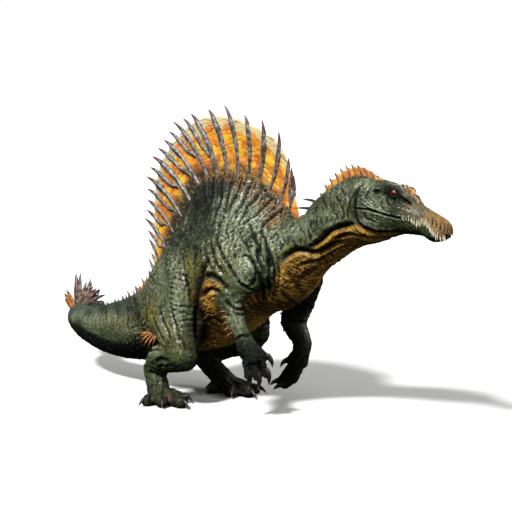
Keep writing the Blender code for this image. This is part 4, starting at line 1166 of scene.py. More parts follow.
# Dark blotches of the hide, and painted shade on chest, thigh slot, eye and rear of the hump.
DARK_SPOTS = (
    (374, 220, 12, 8, 0.35), (298, 306, 34, 8, 0.85), (256, 312, 20, 8, 0.6), (317, 287, 12, 8, 0.6),
    (345, 190, 16, 10, 0.25), (182, 200, 10, 14, 0.6), (204, 226, 12, 14, 0.7), (198, 258, 5, 12, 0.5),
    (393, 208, 9, 7, 0.5), (385, 226, 16, 5, 0.5), (372, 196, 7, 4, 0.35), (362, 190, 5, 6, 0.4),
    (345, 178, 20, 6, 0.3), (205, 196, 14, 14, 0.8), (190, 240, 10, 20, 0.6), (228, 184, 16, 6, 0.6),
    (292, 206, 8, 8, 0.5), (88, 313, 6, 4, 0.7), (104, 311, 5, 6, 0.7), (119, 309, 5, 7, 0.7),
    (130, 304, 5, 8, 0.6), (145, 298, 5, 10, 0.5), (386, 189, 6, 4.5, 1.0), (195, 214, 9, 22, 0.9),
    (216, 186, 10, 8, 0.6), (268, 205, 8, 8, 0.4), (321, 206, 8, 12, 0.4), (352, 178, 24, 6, 0.35),
    (168, 262, 5, 14, 0.4), (204, 208, 12, 20, 1.0), (270, 220, 6, 12, 0.7), (178, 236, 14, 26, 0.75),
    (262, 180, 12, 7, 0.4), (222, 192, 10, 9, 0.5), (136, 305, 5, 18, 0.6), (188, 335, 6, 24, 0.6),
    (379, 236, 16, 3, 0.4), (78.7, 323, 4, 5, 0.7), (389, 190.5, 7.5, 6, 1.0), (404, 200, 9, 3.5, 0.9),
    (440, 238, 12, 4, 0.6), (262, 292, 6, 16, 0.7), (196, 300, 6, 30, 0.8), (376, 228, 14, 4, 0.4),
    (352, 200, 3, 22, 0.3),
)
# Near-black painted shade in the eye socket, at the jaw and in the slot between thigh and belly.
CREASE_SHADE_SPOTS = (
    (389.0, 188.6, 5.0, 3.8, 1.0), (361, 204, 2.5, 16, 0.5), (205, 270, 4, 6, 0.6), (204, 270, 3, 9, 0.9),
    (201, 289, 5, 12, 1.0), (200.5, 311, 6.5, 14, 1.0), (202, 332, 7.5, 13, 1.0), (221, 296, 6, 3, 0.7),
    (262, 296, 5, 10, 0.6),
)
painted_light = spots(PAINTED_LIGHT_SPOTS)
olive = spots(OLIVE_SPOTS)
dark = spots(DARK_SPOTS)
above_mouth = ramp(z - np.interp(x, *mouth_rows.T), 0.2, 1.2)
snout = np.clip(ramp(x + 0.8 * (z - 126), 146, 166) * trunk_share * above_mouth, 0, 1)
snout_tip = ramp(x, 157, 167) * snout
print("painted spots:", len(PAINTED_LIGHT_SPOTS), "pale,", len(OLIVE_SPOTS), "olive,", len(DARK_SPOTS), "dark")

# %% Painted shade in undersides, hollows and creases, painted highlights on the ridges
# Painted shade on the inner sides of the limbs and on surfaces that face down, less on the belly.
facing_in = np.zeros(len(x))
for name, share in limb_share.items():
    inward = skin_normals[:, 1] * (1 if name.endswith("right") else -1)
    facing_in = np.maximum(facing_in, share * ramp(inward, -0.1, 0.6))
facing_down = ramp(-skin_normals[:, 2], 0.25, 0.85)
shade = np.clip(0.8 * facing_in + 0.75 * facing_down * (1 - 0.6 * belly), 0, 1)
legs = limb_share["leg_right"] + limb_share["leg_left"]
# Hands and feet are darker, partly their own colour and partly painted shade.
hands = np.clip(
    limb_share["arm_right"] * (1 - ramp(z, 42, 56)) + limb_share["arm_left"] * (1 - ramp(z, 30, 44))
    + 0.55 * legs * (1 - ramp(z, 6, 16)), 0, 1,
)
dark = np.clip(dark + 0.95 * hands, 0, 1)
fine_step = fine_hollow / fine_hollow.std()
broad_step = broad_hollow / broad_hollow.std()
# Painted shade in the fine and broad hollows, the drawn folds, the eye sockets and on the hands.
crease_shade = np.clip(fold_shade + 0.8 * ramp(fine_step, 0.0, 1.9) + 0.6 * ramp(broad_step, 0.4, 2.4), 0, 1)
crease_shade = np.maximum(crease_shade, np.clip(socket + spots(CREASE_SHADE_SPOTS), 0, 1))
crease_shade = np.maximum(crease_shade, 0.55 * hands)
ridge = ramp(-fine_step, -0.1, 1.7) * (1 - 0.6 * ramp(broad_step, 0.4, 2.0))
speckle = ramp(rough_hills(base_points, 2.6, 231, 2), -0.25, 0.35)
# Painted highlights on the ridges, strongest in the lit spots and along the rib streaks.
ridge_highlight = np.clip((0.1 + 2.0 * painted_light) * (0.2 + 0.8 * ridge) * (0.25 + 0.75 * speckle), 0, 1)
ridge_highlight = ridge_highlight * (1 - 0.85 * shade) * (1 - socket) * (1 - 0.8 * dark)
above = z + 1.8 * rough_hills(stretched, 6.0, 241)
near_sail = trunk_share * ramp(x, -48, -30) * (1 - ramp(x, 50, 60))
below_back = back_top(x) - above
web_root = near_sail * np.maximum(ramp(above, 138, 146), ramp(x, 4, 16) * (1 - ramp(below_back, 5, 10)))
web_shadow = near_sail * ramp(above, 122, 136) * (1 - web_root)
dark = np.clip(dark + 0.55 * web_shadow, 0, 1)
ridge_highlight = np.clip(ridge_highlight + 0.8 * streak_light * speckle * (1 - 0.85 * dark), 0, 1)
toe_web = legs * (1 - ramp(z, 8, 13)) * ramp(broad_step, 0.1, 1.3)
crease_shade = crease_shade * (1 - 0.65 * np.clip(toe_web, 0, 1))
crack_share = torso_share + neck_share + 0.7 * any_limb + 0.6 * head_share + 0.4 * tail_share
cracked = np.clip(crack_share, 0, 1) * (1 - belly) * (1 - 0.85 * snout)
back_dark = trunk_share * ramp(z - back_top(x), -9.0, -2.0) * (1 - ramp(x, 60, 75))
dark = np.clip(dark + 0.3 * back_dark * (1 - web_root), 0, 1)
matte = np.clip(np.maximum(dark, shade), 0, 1)
PAINT_ZONES = {
    "web_root": web_root, "rib": rib_paint, "tail": 1 - ramp(x, -84, -58), "cracked": cracked,
    "painted_light": painted_light * (1 - shade), "toe_web": toe_web, "crease_shade": crease_shade, "ridge_highlight": ridge_highlight, "olive": olive,
    "belly": belly, "snout": snout, "snout_tip": snout_tip, "dark": dark, "matte": matte, "shade": shade,
    "varnish": (1 - matte) * (1 - crease_shade) * (1 - 0.6 * snout), "rim": tail_band * (1 - tail_under_shade),
    "under": tail_under_shade,
}
print("paint zones:", ", ".join(PAINT_ZONES))

# %% [markdown]
# ## The sail: a web of skin between long ribs
#
# The sail is skin stretched over the tall spines of the back. It could be a flat plate with painted lines,
# but then nothing would catch the light. So every point of the web is found from two shares: how far along
# the edge, and how high between back and edge. In those two directions scallops, creases and the hollow of
# each panel are simple sums, and the ribs follow the same curves exactly.

# %% The web
WEB_COLUMNS = 300
WEB_ROWS = 84
WEB_HALF = ((0.0, 0.8), (0.3, 0.6), (0.8, 0.45), (0.97, 0.36), (1.0, 0.14))   # height, half thickness in mm
WEB_SAG = 1.6              # how far the edge sags between two ribs at the back of the sail
WEB_BULGE = -1.0           # at the top of the sail it stands out instead
WEB_CREASE = 3.1           # mm between the creases that cross the panels


def folded(near, far):
    """Two sides of a sheet as closed rings, up the one and down the other."""
    return np.concatenate([near, far[:, ::-1]], axis=1)


def build_web():
    """The web as a closed sheet in relief, with each point's share of the edge, height and painted crease
    shade.
    """
    share = np.linspace(0, 1, WEB_COLUMNS + 1)[:, None] * np.ones(WEB_ROWS + 1)
    height = np.ones(WEB_COLUMNS + 1)[:, None] * np.linspace(-0.03, 1, WEB_ROWS + 1)
    flat = np.stack([share.ravel() * 300, height.ravel() * 80, np.zeros(share.size)], axis=1)

    def uneven(size, seed):
        """Noise over the sheet as if it lay flat."""
        return hills(flat, size, seed).reshape(share.shape)

    beat = rib_beat(share)
    bay = np.abs(np.sin(math.pi * beat)) * ((beat > 0) & (beat < RIB_COUNT - 1))
    _, length = sail_point(share, height)
    turn = ramp(share, 0.42, 0.55) * (1 - ramp(share, 0.86, 0.92))
    sag = (WEB_SAG + (WEB_BULGE - WEB_SAG) * turn) * bay ** 0.8 + 0.7 * uneven(4.0, 301) * bay
    spot, _ = sail_point(share, height * (1 - sag / np.maximum(length, 6.0)))
    far = height * length / WEB_CREASE + 1.3 * rough_hills(flat, 13.0, 311, 3).reshape(share.shape)
    crease = (1 - np.abs(np.sin(math.pi * far))) ** 1.6 * ramp(uneven(9.0, 321), -0.5, 0.3)
    shape = 0.9 * bay * ramp(height, 0.1, 0.5) * (1 - 0.6 * height)
    shape = shape + 0.34 * crease * ramp(height, 0.05, 0.3) + 0.5 * uneven(11.0, 331) * bay
    shape = shape + 0.22 * np.sin(share * 700 + 3 * uneven(16.0, 341)) * bay * ramp(height, 0.86, 0.97)
    half = np.interp(height, *np.array(WEB_HALF).T) * (1 + 0.3 * (1 - 0.55 * bay) * (1 - height))
    taper = np.clip(length / 12.0, 0.15, 1)
    near_side = np.stack([spot[..., 0], (shape - half) * taper, spot[..., 1]], axis=-1)
    far_side = np.stack([spot[..., 0], (shape + half) * taper, spot[..., 1]], axis=-1)
    # Painted shade in the creases and on the web beside each rib, less high up.
    beside_rib = (1 - np.abs(np.sin(math.pi * beat))) ** 2.2
    crease_and_rib_shade = np.maximum(crease, 1.2 * beside_rib * (1 - 0.7 * height))
    return folded(near_side, far_side), *[folded(sheet, sheet) for sheet in (share, height, crease_and_rib_shade)]


web_rings, web_share, web_height, web_crease_shade = build_web()
rear = 1 - ramp(web_share, 0.3, 0.5)
web_level = web_height - 0.3 * rear * (1 - web_height)     # the rear of the web is browner
web_points = web_rings.reshape(-1, 3)
web_faces = loft_faces(WEB_COLUMNS + 1, 2 * (WEB_ROWS + 1))
print("web:", len(web_points), "points, top at, mm:", round(float(web_points[:, 2].max()), 1))

# %% [markdown]
# ## Horn: ribs, quills, spines, claws and teeth
#
# All of these are one kind of thing, a tapering tube along a bent line, so one function makes them all. It
# carries a frame along the line without twisting, takes any row of radii, may be flattened, and can be
# ridged along its length. Real ribs are knobby and thickest below the edge of the web, where the horny tip
# breaks out.

# %% One function for every horn
def horn(path, radii, sides, ridge=0.0, flatten=1.0, seed=0):
    """A closed tapering tube as points, faces and sides. Ridge makes grooves, as a share of the radius."""
    path = np.asarray(path, float)
    heading = np.gradient(path, axis=0)
    heading /= np.maximum(np.linalg.norm(heading, axis=1), 1e-9)[:, None]
    first = np.cross(heading[0], (0, 1, 0) if abs(heading[0][1]) < 0.8 else (1, 0, 0))
    rings = []
    turns = 2 * math.pi * np.arange(sides) / sides
    for i, (spot, ahead, radius) in enumerate(zip(path, heading, radii)):
        first = first - ahead * (first @ ahead)
        first /= np.linalg.norm(first)
        second = np.cross(ahead, first)
        grooves = ridge * np.cos(turns * 5 + seed) + 0.5 * ridge * np.cos(turns * 3 + i * 0.35 + seed)
        reach = radius * (1 + grooves)
        ring = np.outer(np.cos(turns) * reach, first) + np.outer(np.sin(turns) * reach * flatten, second)
        rings.append(spot + ring)
    return np.concatenate(rings), loft_faces(len(path), sides), sides


def bent(foot, tip, bow, count, lift=(0, 0, 1)):
    """A line from foot to tip whose middle is bowed towards lift."""
    foot, tip, lift = np.array(foot, float), np.array(tip, float), np.array(lift, float)
    t = np.linspace(0, 1, count)[:, None]
    along = tip - foot
    side = lift - along * (lift @ along) / (along @ along)
    side /= max(np.linalg.norm(side), 1e-6)
    return foot + along * t + side * bow * np.sin(math.pi * t)


def sunk(foot, tip, depth):
    """A horn's foot moved back along it, into the skin."""
    return foot - (tip - foot) / np.linalg.norm(tip - foot) * depth


def gather(forms):
    """Horns as one mesh, with each point's place along its own horn from 0 to 1."""
    points, faces = join_forms([form[:2] for form in forms])
    place = [np.repeat(np.linspace(0, 1, len(form[0]) // form[2]), form[2]) for form in forms]
    return points, faces, np.concatenate(place)


# %% Ribs
RIB_TIP = 10.0
RIB_SIDES = 14
RIB_ROWS = 64
# Height between back and edge, radius in mm. Past 1 the rib is free.
RIB_RADII = ((-0.08, 1.3), (0.2, 1.5), (0.45, 1.6), (0.7, 1.8), (0.86, 1.95), (0.96, 1.7), (1.0, 1.35))
TIP_RADII = ((0.0, 1.5), (0.12, 1.25), (0.5, 0.85), (0.85, 0.4), (1.0, 0.12))
TIP_ROWS = 15
# Numbers of the short ribs on the rear edge, counted back from the first rib.
REAR_RIBS = (-0.5, -0.95, -1.35, -1.7)
# Numbers of the ribs that grow between the main ones, and the heights at which they start.
SIDE_RIBS = (
    (0.5, 0.3), (1.5, 0.4), (2.5, 0.25), (3.5, 0.4), (4.5, 0.3), (5.5, 0.45), (6.5, 0.35), (13.5, 0.4),
)


def rib_form(beat, start, tip, thick, lean):
    """A rib along the web's curves, from a height to its free tip; lean draws its foot to the rib ahead."""
    height = np.linspace(start, 1, RIB_ROWS)
    drawn = beat_share(beat) + RIB_STEP * lean * (1 - ramp(height, start, start + 0.5 * (1 - start)))
    spot, length = sail_point(drawn, height)
    path = np.stack([spot[:, 0], np.zeros(RIB_ROWS), spot[:, 1]], axis=1)
    along = path[-1] - path[-4]
    along /= np.linalg.norm(along)
    back = np.array([-along[2], 0, along[0]])
    t = np.linspace(0, 1, TIP_ROWS + 1)[1:, None]
    free = path[-1] + along * tip * t + back * 0.12 * tip * t**2
    radii = np.interp(height, *np.array(RIB_RADII).T) * thick * min(1.0, 0.45 + float(length.max()) / 90)
    knobs = 1 + 0.10 * hills(path, 5.0, 401) + 0.06 * hills(path, 2.2, 411)
    if start > 0:
        radii = radii * (0.35 + 0.65 * ramp(height, start, start + 0.15))
    tips = np.interp(t[:, 0], *np.array(TIP_RADII).T) * (0.6 + 0.4 * thick)
    whole, thickness = np.concatenate([path, free]), np.concatenate([radii * knobs, tips])
    return horn(whole, thickness, RIB_SIDES, 0.07, 1.0, beat)


ribs = []
for k in range(RIB_COUNT):
    tip = RIB_TIP * (0.82 + 0.22 * math.sin(k * 2.3))
    ribs.append(rib_form(k, -0.08, tip, 1.14 + 0.12 * math.cos(k * 1.7), 0.0))
for beat, start in SIDE_RIBS:
    ribs.append(rib_form(beat, start, RIB_TIP * 0.72, 0.9, 0.34))
for beat in REAR_RIBS:
    ribs.append(rib_form(beat, 0.0, 6.5 + 2 * math.sin(beat * 5), 0.7, 0.0))
print("ribs:", len(ribs), "highest tip, mm:", round(float(max(rib[0][:, 2].max() for rib in ribs)), 1))

# %% [markdown]
# ## Frill, crest, quills and keel
#
# Behind the head stands a low frill, made like the sail: lobes of skin between hooked ridges. A smaller
# crest of the same make stands before the eyes, and a low frill behind the sail. Bare quills stand on the
# nape and fan out at the end of the tail, and a row of small spines runs along the top of the tail. They
# are short horns from the same function, only flatter and ridged.

# %% Combs: the nape frill, the snout crest and the keel frill
COMB_SAMPLES = 10          # columns in half a lobe
COMB_ROWS = 12


def comb_outline(back_x, front_x, height, count, k):
    """A corner of the comb: odd numbers are points of ridges, even ones the notches between."""
    t = k / (2 * count)
    x = back_x + (front_x - back_x) * t
    reach = height * math.sin(math.pi * min(max(t, 0.04), 0.96)) ** 0.6 * (1.0 if k % 2 else 0.9)
    return np.array([x, back_top(x)]), np.array([x - 0.35 * reach * (k % 2), back_top(x) + reach])


def build_comb(back_x, front_x, height, count, thick):
    """Lobes of skin between ridges, their heights and painted shade beside the ridges, and the ridges as
    horns.
    """
    corners = [comb_outline(back_x, front_x, height, count, k) for k in range(2 * count + 1)]
    feet = smooth_rows([c[0] for c in corners], COMB_SAMPLES)
    tops = smooth_rows([c[1] for c in corners], COMB_SAMPLES)
    beat = np.arange(len(feet)) / COMB_SAMPLES / 2
    lobe = np.abs(np.cos(math.pi * beat))[:, None]
    share = np.linspace(-0.25, 1, COMB_ROWS)[None, :]
    spot = feet[:, None] + (tops - feet)[:, None] * share[..., None]
    half = thick * (0.9 - 0.62 * np.clip(share, 0, 1)) * (0.75 + 0.25 * lobe)
    fold = 0.25 * thick * np.sin(beat * 4 * math.pi)[:, None] * share
    near_side = np.stack([spot[..., 0], fold - half, spot[..., 1]], axis=-1)
    far_side = np.stack([spot[..., 0], fold + half, spot[..., 1]], axis=-1)
    level = share * np.ones((len(feet), 1))
    ridges = []
    for k in range(1, 2 * count, 2):
        foot, top = corners[k]
        foot = foot + np.array([1.2, -1.4])
        tip = top + (top - foot) * 0.16 + np.array([-1.3, 0.1])
        path = bent((foot[0], 0, foot[1]), (tip[0], 0, tip[1]), 0.5, 14, (1, 0, 0.4))
        radii = thick * np.interp(np.linspace(0, 1, 14), (0, 0.5, 0.8, 1), (1.35, 1.2, 0.85, 0.15))
        ridges.append(horn(path, radii, 10, 0.06))
    # Painted shade on the lobes beside each ridge.
    ridge_shade = np.repeat(0.8 * (1 - lobe) ** 3, 2 * COMB_ROWS, axis=1)
    sheet = folded(near_side, far_side).reshape(-1, 3), loft_faces(len(feet), 2 * COMB_ROWS)
    return sheet, {"height": folded(level, level), "crease": ridge_shade}, ridges


# Rear end, front end, height, lobes and thickness.
COMBS = {
    "nape_frill": (79.0, 127.0, 7.0, 11, 0.75),
    "snout_crest": (142.5, 153.5, 6.6, 3, 0.9),
    "keel_frill": (-86.0, -60.0, 5.5, 4, 0.6),
}
combs = {name: build_comb(*numbers) for name, numbers in COMBS.items()}
print("ridges of the combs:", {name: len(comb[2]) for name, comb in combs.items()})

# %% Quills and keel spines
# Foot, tip and half thickness, as in the frame, then thinner ones that fill the fan of the tail.
NAPE_QUILLS = (
    ((80, 0, 131.5), (63, 2, 134), 0.7), ((77, 0, 127.5), (61.5, -2, 128.5), 0.75),
    ((74, 0, 123.5), (61, 2, 123), 0.65),
)
TAIL_QUILLS = (
    ((-180, 27, 41), (-186, 32, 66), 1.9), ((-178, 28, 42), (-182, 33, 66), 1.8),
    ((-176, 28, 43), (-175, 33, 60), 1.5), ((-173, 27, 43), (-166, 30, 57), 1.4),
    ((-170, 25, 43.5), (-157, 27, 57), 1.3), ((-167, 22, 43.5), (-146, 21, 58), 1.5),
    ((-164, 20, 43.5), (-136, 17, 55), 1.2), ((-186, 50, 38), (-194, 63, 49), 1.3),
    ((-178, 37, 41), (-184, 46, 58), 1.4), ((-174, 31, 43), (-176, 38, 62), 1.4),
    ((-181, 29, 41), (-189, 36, 62), 1.3), ((-174, 28, 43), (-171, 33, 61), 1.1),
    ((-172, 26, 43), (-161, 29, 54), 1.0), ((-168, 24, 43.5), (-152, 24, 53), 1.1),
    ((-170, 28, 43), (-168, 34, 58), 1.0),
)
QUILL_BOW = 0.8
KEEL_BACK_X = -134.0
KEEL_FRONT_X = -72.0
KEEL_COUNT = 17
KEEL_TAPER = np.array([1.3, 1.25, 1.15, 1.0, 0.9, 0.75, 0.6, 0.45, 0.3, 0.08])


def quill_form(foot, tip, radius, flatten):
    """One quill, ridged along its length, its root sunk in the skin."""
    foot, tip = np.array(foot, float), np.array(tip, float)
    radii = radius * np.interp(np.linspace(0, 1, 22), (0, 0.15, 0.5, 0.8, 1), (0.9, 1.15, 1.3, 0.8, 0.1))
    path = bent(sunk(foot, tip, 1.5), tip, QUILL_BOW, 22)
    return horn(path, radii, 12, 0.12, flatten, float(foot[0]))


quills = [quill_form(*quill, 0.5) for quill in TAIL_QUILLS]
nape_quills = [quill_form(*quill, 1.0) for quill in NAPE_QUILLS]
keel = []
for k in range(KEEL_COUNT):
    t = k / (KEEL_COUNT - 1)
    kx = KEEL_FRONT_X + (KEEL_BACK_X - KEEL_FRONT_X) * t
    tall = (2.0 + 6.5 * (1 - t) ** 3) * (1.0 if k % 2 else 0.7)
    ky = 0.5 * math.sin(k * 2.1)
    top = back_top(kx)
    path = bent((kx, ky, top - 1.2), (kx - tall * 0.7, ky * 1.4, top + tall), 0.3, len(KEEL_TAPER))
    keel.append(horn(path, (0.55 + 0.2 * (k % 2) + 0.5 * (1 - t) ** 2) * KEEL_TAPER, 9, 0.05))
print("quills:", len(quills) + len(nape_quills), "keel spines:", len(keel))

# %% Claws
# Foot, tip and half thickness at the root, as in the frame.
CLAWS = {
    "leg_right": (
        ((-21, -53.2, 4.0), (-21, -59.5, 0.9), 1.7), ((-9, -50, 4.3), (-5, -54, 0.9), 1.9),
        ((1.5, -42.3, 4.4), (9.0, -44, 0.9), 2.0), ((-9, -29.6, 4.0), (-3.5, -27.5, 0.9), 1.6),
    ),
    "leg_left": (
        ((6.5, 23.5, 4.3), (13.0, 25.5, 0.9), 1.8), ((11.5, 10.6, 4.4), (19, 8.5, 0.9), 2.0),
        ((2, 3.2, 4.2), (6.0, -1.0, 0.9), 1.8), ((-18.2, 3, 4.0), (-17, -2.5, 0.9), 1.5),
    ),
    "arm_right": (
        ((54.0, -38.6, 28.5), (54.2, -38.0, 18.8), 2.6), ((58.4, -35, 28), (59.0, -34.4, 18.8), 2.6),
        ((61.6, -30.4, 29.5), (63.2, -29.2, 21.2), 2.5), ((61.4, -28.4, 38), (64.0, -26.6, 31.8), 2.1),
    ),
    "arm_left": (
        ((28.4, 20.8, 11.6), (21.8, 18.6, 8.6), 2.1), ((30.9, 21.6, 9.0), (24.4, 19.0, 6.0), 2.1),
        ((34.4, 19, 10), (28.4, 16.0, 7.2), 2.0), ((29.5, 27.2, 24.5), (25.4, 24.8, 20.0), 1.8),
    ),
}
CLAW_RADII = ((0, 0.78), (0.18, 1.0), (0.5, 0.74), (0.8, 0.38), (1, 0.07))


def claw_form(foot, tip, radius, bow):
    """A hooked claw whose root lies under the skin of the toe."""
    foot, tip = np.array(foot, float), np.array(tip, float)
    flat = abs(tip[2] - foot[2]) < 4.5
    outward = np.array([0, 0, 1.0]) if flat else (tip - foot) * np.array([1, 1, 0]) + (0, 0, 0.01)
    radii = radius * np.interp(np.linspace(0, 1, 18), *np.array(CLAW_RADII).T)
    return horn(bent(sunk(foot, tip, 2.2), tip, bow, 18, outward), radii, 14, 0.03, 0.8)


claws = {name: [claw_form(*claw, 1.3) for claw in row] for name, row in CLAWS.items()}
print("claws:", sum(len(row) for row in claws.values()))

# %% Teeth
# Which way they point, how many on each side, where they start and end as shares of the lip, length. At the
# very tip they stand on the near side only, because far ones would show past the snout's outline.
TEETH_ROWS = ((-1, 24, 0.46, 0.94, 3.1), (1, 14, 0.52, 0.88, 1.8))
FAR_SIDE_ENDS = 0.1        # so much earlier, as a share of the lip, the far row ends
TOOTH_TAPER = np.array([0.9, 1, 0.98, 0.92, 0.82, 0.68, 0.5, 0.3, 0.06])


def tooth_row(up, count, start, end, length):
    """The teeth of one jaw along the lip: small at the back, long where the snout is broad."""
    made = []
    half = len(mouth_path) / 2
    for side in (-1, 1):
        last = end if side < 0 else end - FAR_SIDE_ENDS
        for k in range(count):
            share = start + (last - start) * (k + 0.5) / count
            spot = mouth_path[int(half + side * half * (1 - share))]
            out = on_skin([spot], 1)[0] * (1, 1, 0)
            out /= np.linalg.norm(out)
            long = length * (0.28 + 0.8 * ramp(spot[0], 149, 160)) * (0.85 + 0.25 * (k % 2))
            foot = spot + out * 0.1 + np.array([0, 0, -1.1 * up])
            tip = spot + out * (0.75 + 0.12 * long) + np.array([0.5, 0, up * long])
            made.append(horn(bent(foot, tip, 0.3, 9, out), (0.24 + 0.09 * long) * TOOTH_TAPER, 9))
    return made


upper_teeth = tooth_row(*TEETH_ROWS[0])
lower_teeth = tooth_row(*TEETH_ROWS[1])
print("teeth:", len(upper_teeth), "above,", len(lower_teeth), "below")

# %% Tufts
# Foot, tip and half thickness: a spiky tuft beside the fan.
FAN_TUFT = (
    ((-183, 26, 38), (-203, 35, 44), 1.7), ((-182, 25, 39), (-200, 32, 49), 1.6),
    ((-181, 26, 40), (-195, 30, 52), 1.5),
)
# Feet in picture coordinates, the way to the tip, half thickness: the bend behind the thigh, then the elbow.
NEAR_TUFTS = (
    ((150, 333), (-8, -4, -4.0), 0.5), ((151, 334), (-6, -4.5, -6.5), 0.55),
    ((153, 335), (-4, -5, -7.5), 0.55), ((155, 336), (-1.5, -5, -7.0), 0.55),
    ((157, 336), (1.0, -5, -6.0), 0.5), ((149, 333), (-8.5, -4, -1.5), 0.45),
    ((224, 303), (-4.5, -2, 2.5), 0.4), ((225, 308), (-5.0, -2, 1.0), 0.45),
    ((226, 313), (-5.0, -2, 0.0), 0.45), ((228, 318), (-5.5, -2, -1.0), 0.45),
    ((229.5, 323), (-5.5, -2, -2.0), 0.45), ((231, 328), (-5.5, -2, -3.0), 0.45),
    ((233, 333), (-5.0, -2, -4.0), 0.4),
)


def near_tuft(pixel, way, thick):
    """A tuft's spike as foot, tip and half thickness."""
    foot = cast_point(*pixel)
    return foot, foot + np.array(way), thick


ELBOW_SPIKES = (
    ((19.5, 36, 52), (14, 37, 54), 0.8), ((20, 36, 48), (14.5, 37, 47), 0.9),
    ((22, 36, 44), (17, 37, 41.5), 0.8), ((21, 36, 56), (17, 37, 60), 0.7),
)
near_tufts = tuple(near_tuft(*row) for row in NEAR_TUFTS)
tufts = [quill_form(*tuft, 0.6) for tuft in FAN_TUFT + near_tufts]
elbow_spikes = [quill_form(*spike, 0.8) for spike in ELBOW_SPIKES]
print("tufts:", len(tufts), "elbow spikes:", len(elbow_spikes))

# %% [markdown]
# ## Skin pieces
#
# The finished skin is cut along the limbs, the nape and the root of the tail, because each casting of the
# frame gets its own dressed piece. The pieces share their border points and keep the whole skin's normals,
# so that no line shows between them. Each one takes the place of the plain casting under it.

# %% Cut the skin into pieces
HEAD_LIMIT = 92.0
TAIL_LIMIT = -72.0

part_names = ["skin_trunk", "skin_head", "skin_tail"] + ["skin_" + name for name in LIMBS]
part_of_point = np.zeros(len(x), int)
part_of_point[x > HEAD_LIMIT] = 1
part_of_point[x < TAIL_LIMIT] = 2
for k, name in enumerate(LIMBS):
    part_of_point[limb_share[name] > 0.5] = 3 + k


def store(piece, zones):
    """Keep paint zones on the points of a piece."""
    for zone, values in zones.items():
        column = piece.data.attributes.new(zone, "FLOAT", "POINT")
        column.data.foreach_set("value", np.asarray(values, np.float32).ravel())


def cut_skin():
    """The pieces of the skin by name, with the whole skin's normals and paint zones."""
    faces_of = [[] for _ in part_names]
    for face in skin_faces:
        faces_of[max(part_of_point[index] for index in face)].append(face)
    made = {}
    for name, faces in zip(part_names, faces_of):
        used = np.unique(np.concatenate([np.array(face) for face in faces]))
        where = np.full(len(x), -1)
        where[used] = np.arange(len(used))
        piece = new_object(name, skin_points[used], [tuple(where[list(face)]) for face in faces])
        store(piece, {zone: values[used] for zone, values in PAINT_ZONES.items()})
        piece.data.normals_split_custom_set_from_vertices([tuple(n) for n in skin_normals[used]])
        made[name] = piece
    return made


skin_pieces = cut_skin()
print("skin pieces:", {name: len(piece.data.polygons) for name, piece in skin_pieces.items()})

# %% Ride on the body and take the castings' places
for name, piece in skin_pieces.items():
    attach(piece, "root")
    if name[5:] in LIMBS:
        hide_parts(name[5:])
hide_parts("body")

# %% [markdown]
# ## Colours and nodes
#
# Painters write colours as hex numbers, which count brightness the way a screen does. The renderer counts
# light itself, so one function turns the first into the second. Another adds a node, sets it and links it
# in one call, which keeps a material readable as a recipe. A third lays one coat of paint over what is
# below it, only as thick as its shares allow: a zone, a pattern of blotches, a plain number.

# %% Helpers for materials
def srgb(code):
    """A hex colour as linear light."""
    parts = [int(code[i:i + 2], 16) / 255 for i in (1, 3, 5)]
    return tuple(c / 12.92 if c <= 0.04045 else ((c + 0.055) / 1.055) ** 2.4 for c in parts) + (1.0,)


def node(tree, kind, inputs=None, **settings):
    """Add a node, make its settings, then fill or link its inputs."""
    made = tree.nodes.new(kind)
    for name, value in settings.items():
        setattr(made, name, value)
    for socket, value in (inputs or {}).items():
        if isinstance(value, bpy.types.NodeSocket):
            tree.links.new(value, made.inputs[socket])
        else:
            made.inputs[socket].default_value = value
    return made


def coat(tree, below, colour, *shares):
    """One coat of paint over another, as thick as its shares multiplied; colours are hex or sockets."""
    share = shares[0]
    for other in shares[1:]:
        both = node(tree, "ShaderNodeMath", {0: share, 1: other}, operation="MULTIPLY", use_clamp=True)
        share = both.outputs[0]
    below, colour = (srgb(c) if isinstance(c, str) else c for c in (below, colour))
    return node(tree, "ShaderNodeMix", {0: share, 6: below, 7: colour}, data_type="RGBA").outputs[2]


def start_paint(name, roughness, ior=1.5, coat_weight=0.0, coat_roughness=0.2, specular=0.5):
    """A new material: its tree, its shader and the object's own coordinates."""
    material = bpy.data.materials.new(name)
    material.use_nodes = True
    tree = material.node_tree
    shader = tree.nodes["Principled BSDF"]
    shader.inputs["Roughness"].default_value = roughness
    shader.inputs["IOR"].default_value = ior
    shader.inputs["Specular IOR Level"].default_value = specular
    shader.inputs["Coat Weight"].default_value = coat_weight
    shader.inputs["Coat Roughness"].default_value = coat_roughness
    place = node(tree, "ShaderNodeTexCoord").outputs["Object"]
    return material, tree, shader, place


def finish_paint(tree, shader, colour, relief=None, strength=0.6, depth=0.3):
    """Link the colour and, where one is given, a fine relief of a depth in millimetres."""
    tree.links.new(colour, shader.inputs["Base Color"])
    if relief:
        bump = node(tree, "ShaderNodeBump", {"Height": relief, "Strength": strength, "Distance": depth * MM})
        tree.links.new(bump.outputs["Normal"], shader.inputs["Normal"])


def blotches(tree, place, size, low=0.35, high=0.65, out_low=0.0, out_high=1.0):
    """Blotches about as wide as size in millimetres, stretched to the range that is wanted."""
    cloud = node(tree, "ShaderNodeTexNoise", {"Vector": place, "Scale": 1 / (size * MM), "Detail": 4.0})
    spread = {"From Min": low, "From Max": high, "To Min": out_low, "To Max": out_high}
    return node(tree, "ShaderNodeMapRange", {"Value": cloud.outputs["Fac"], **spread}).outputs["Result"]


print("the hide's base colour as light:", np.round(srgb("#4b5830"), 3))

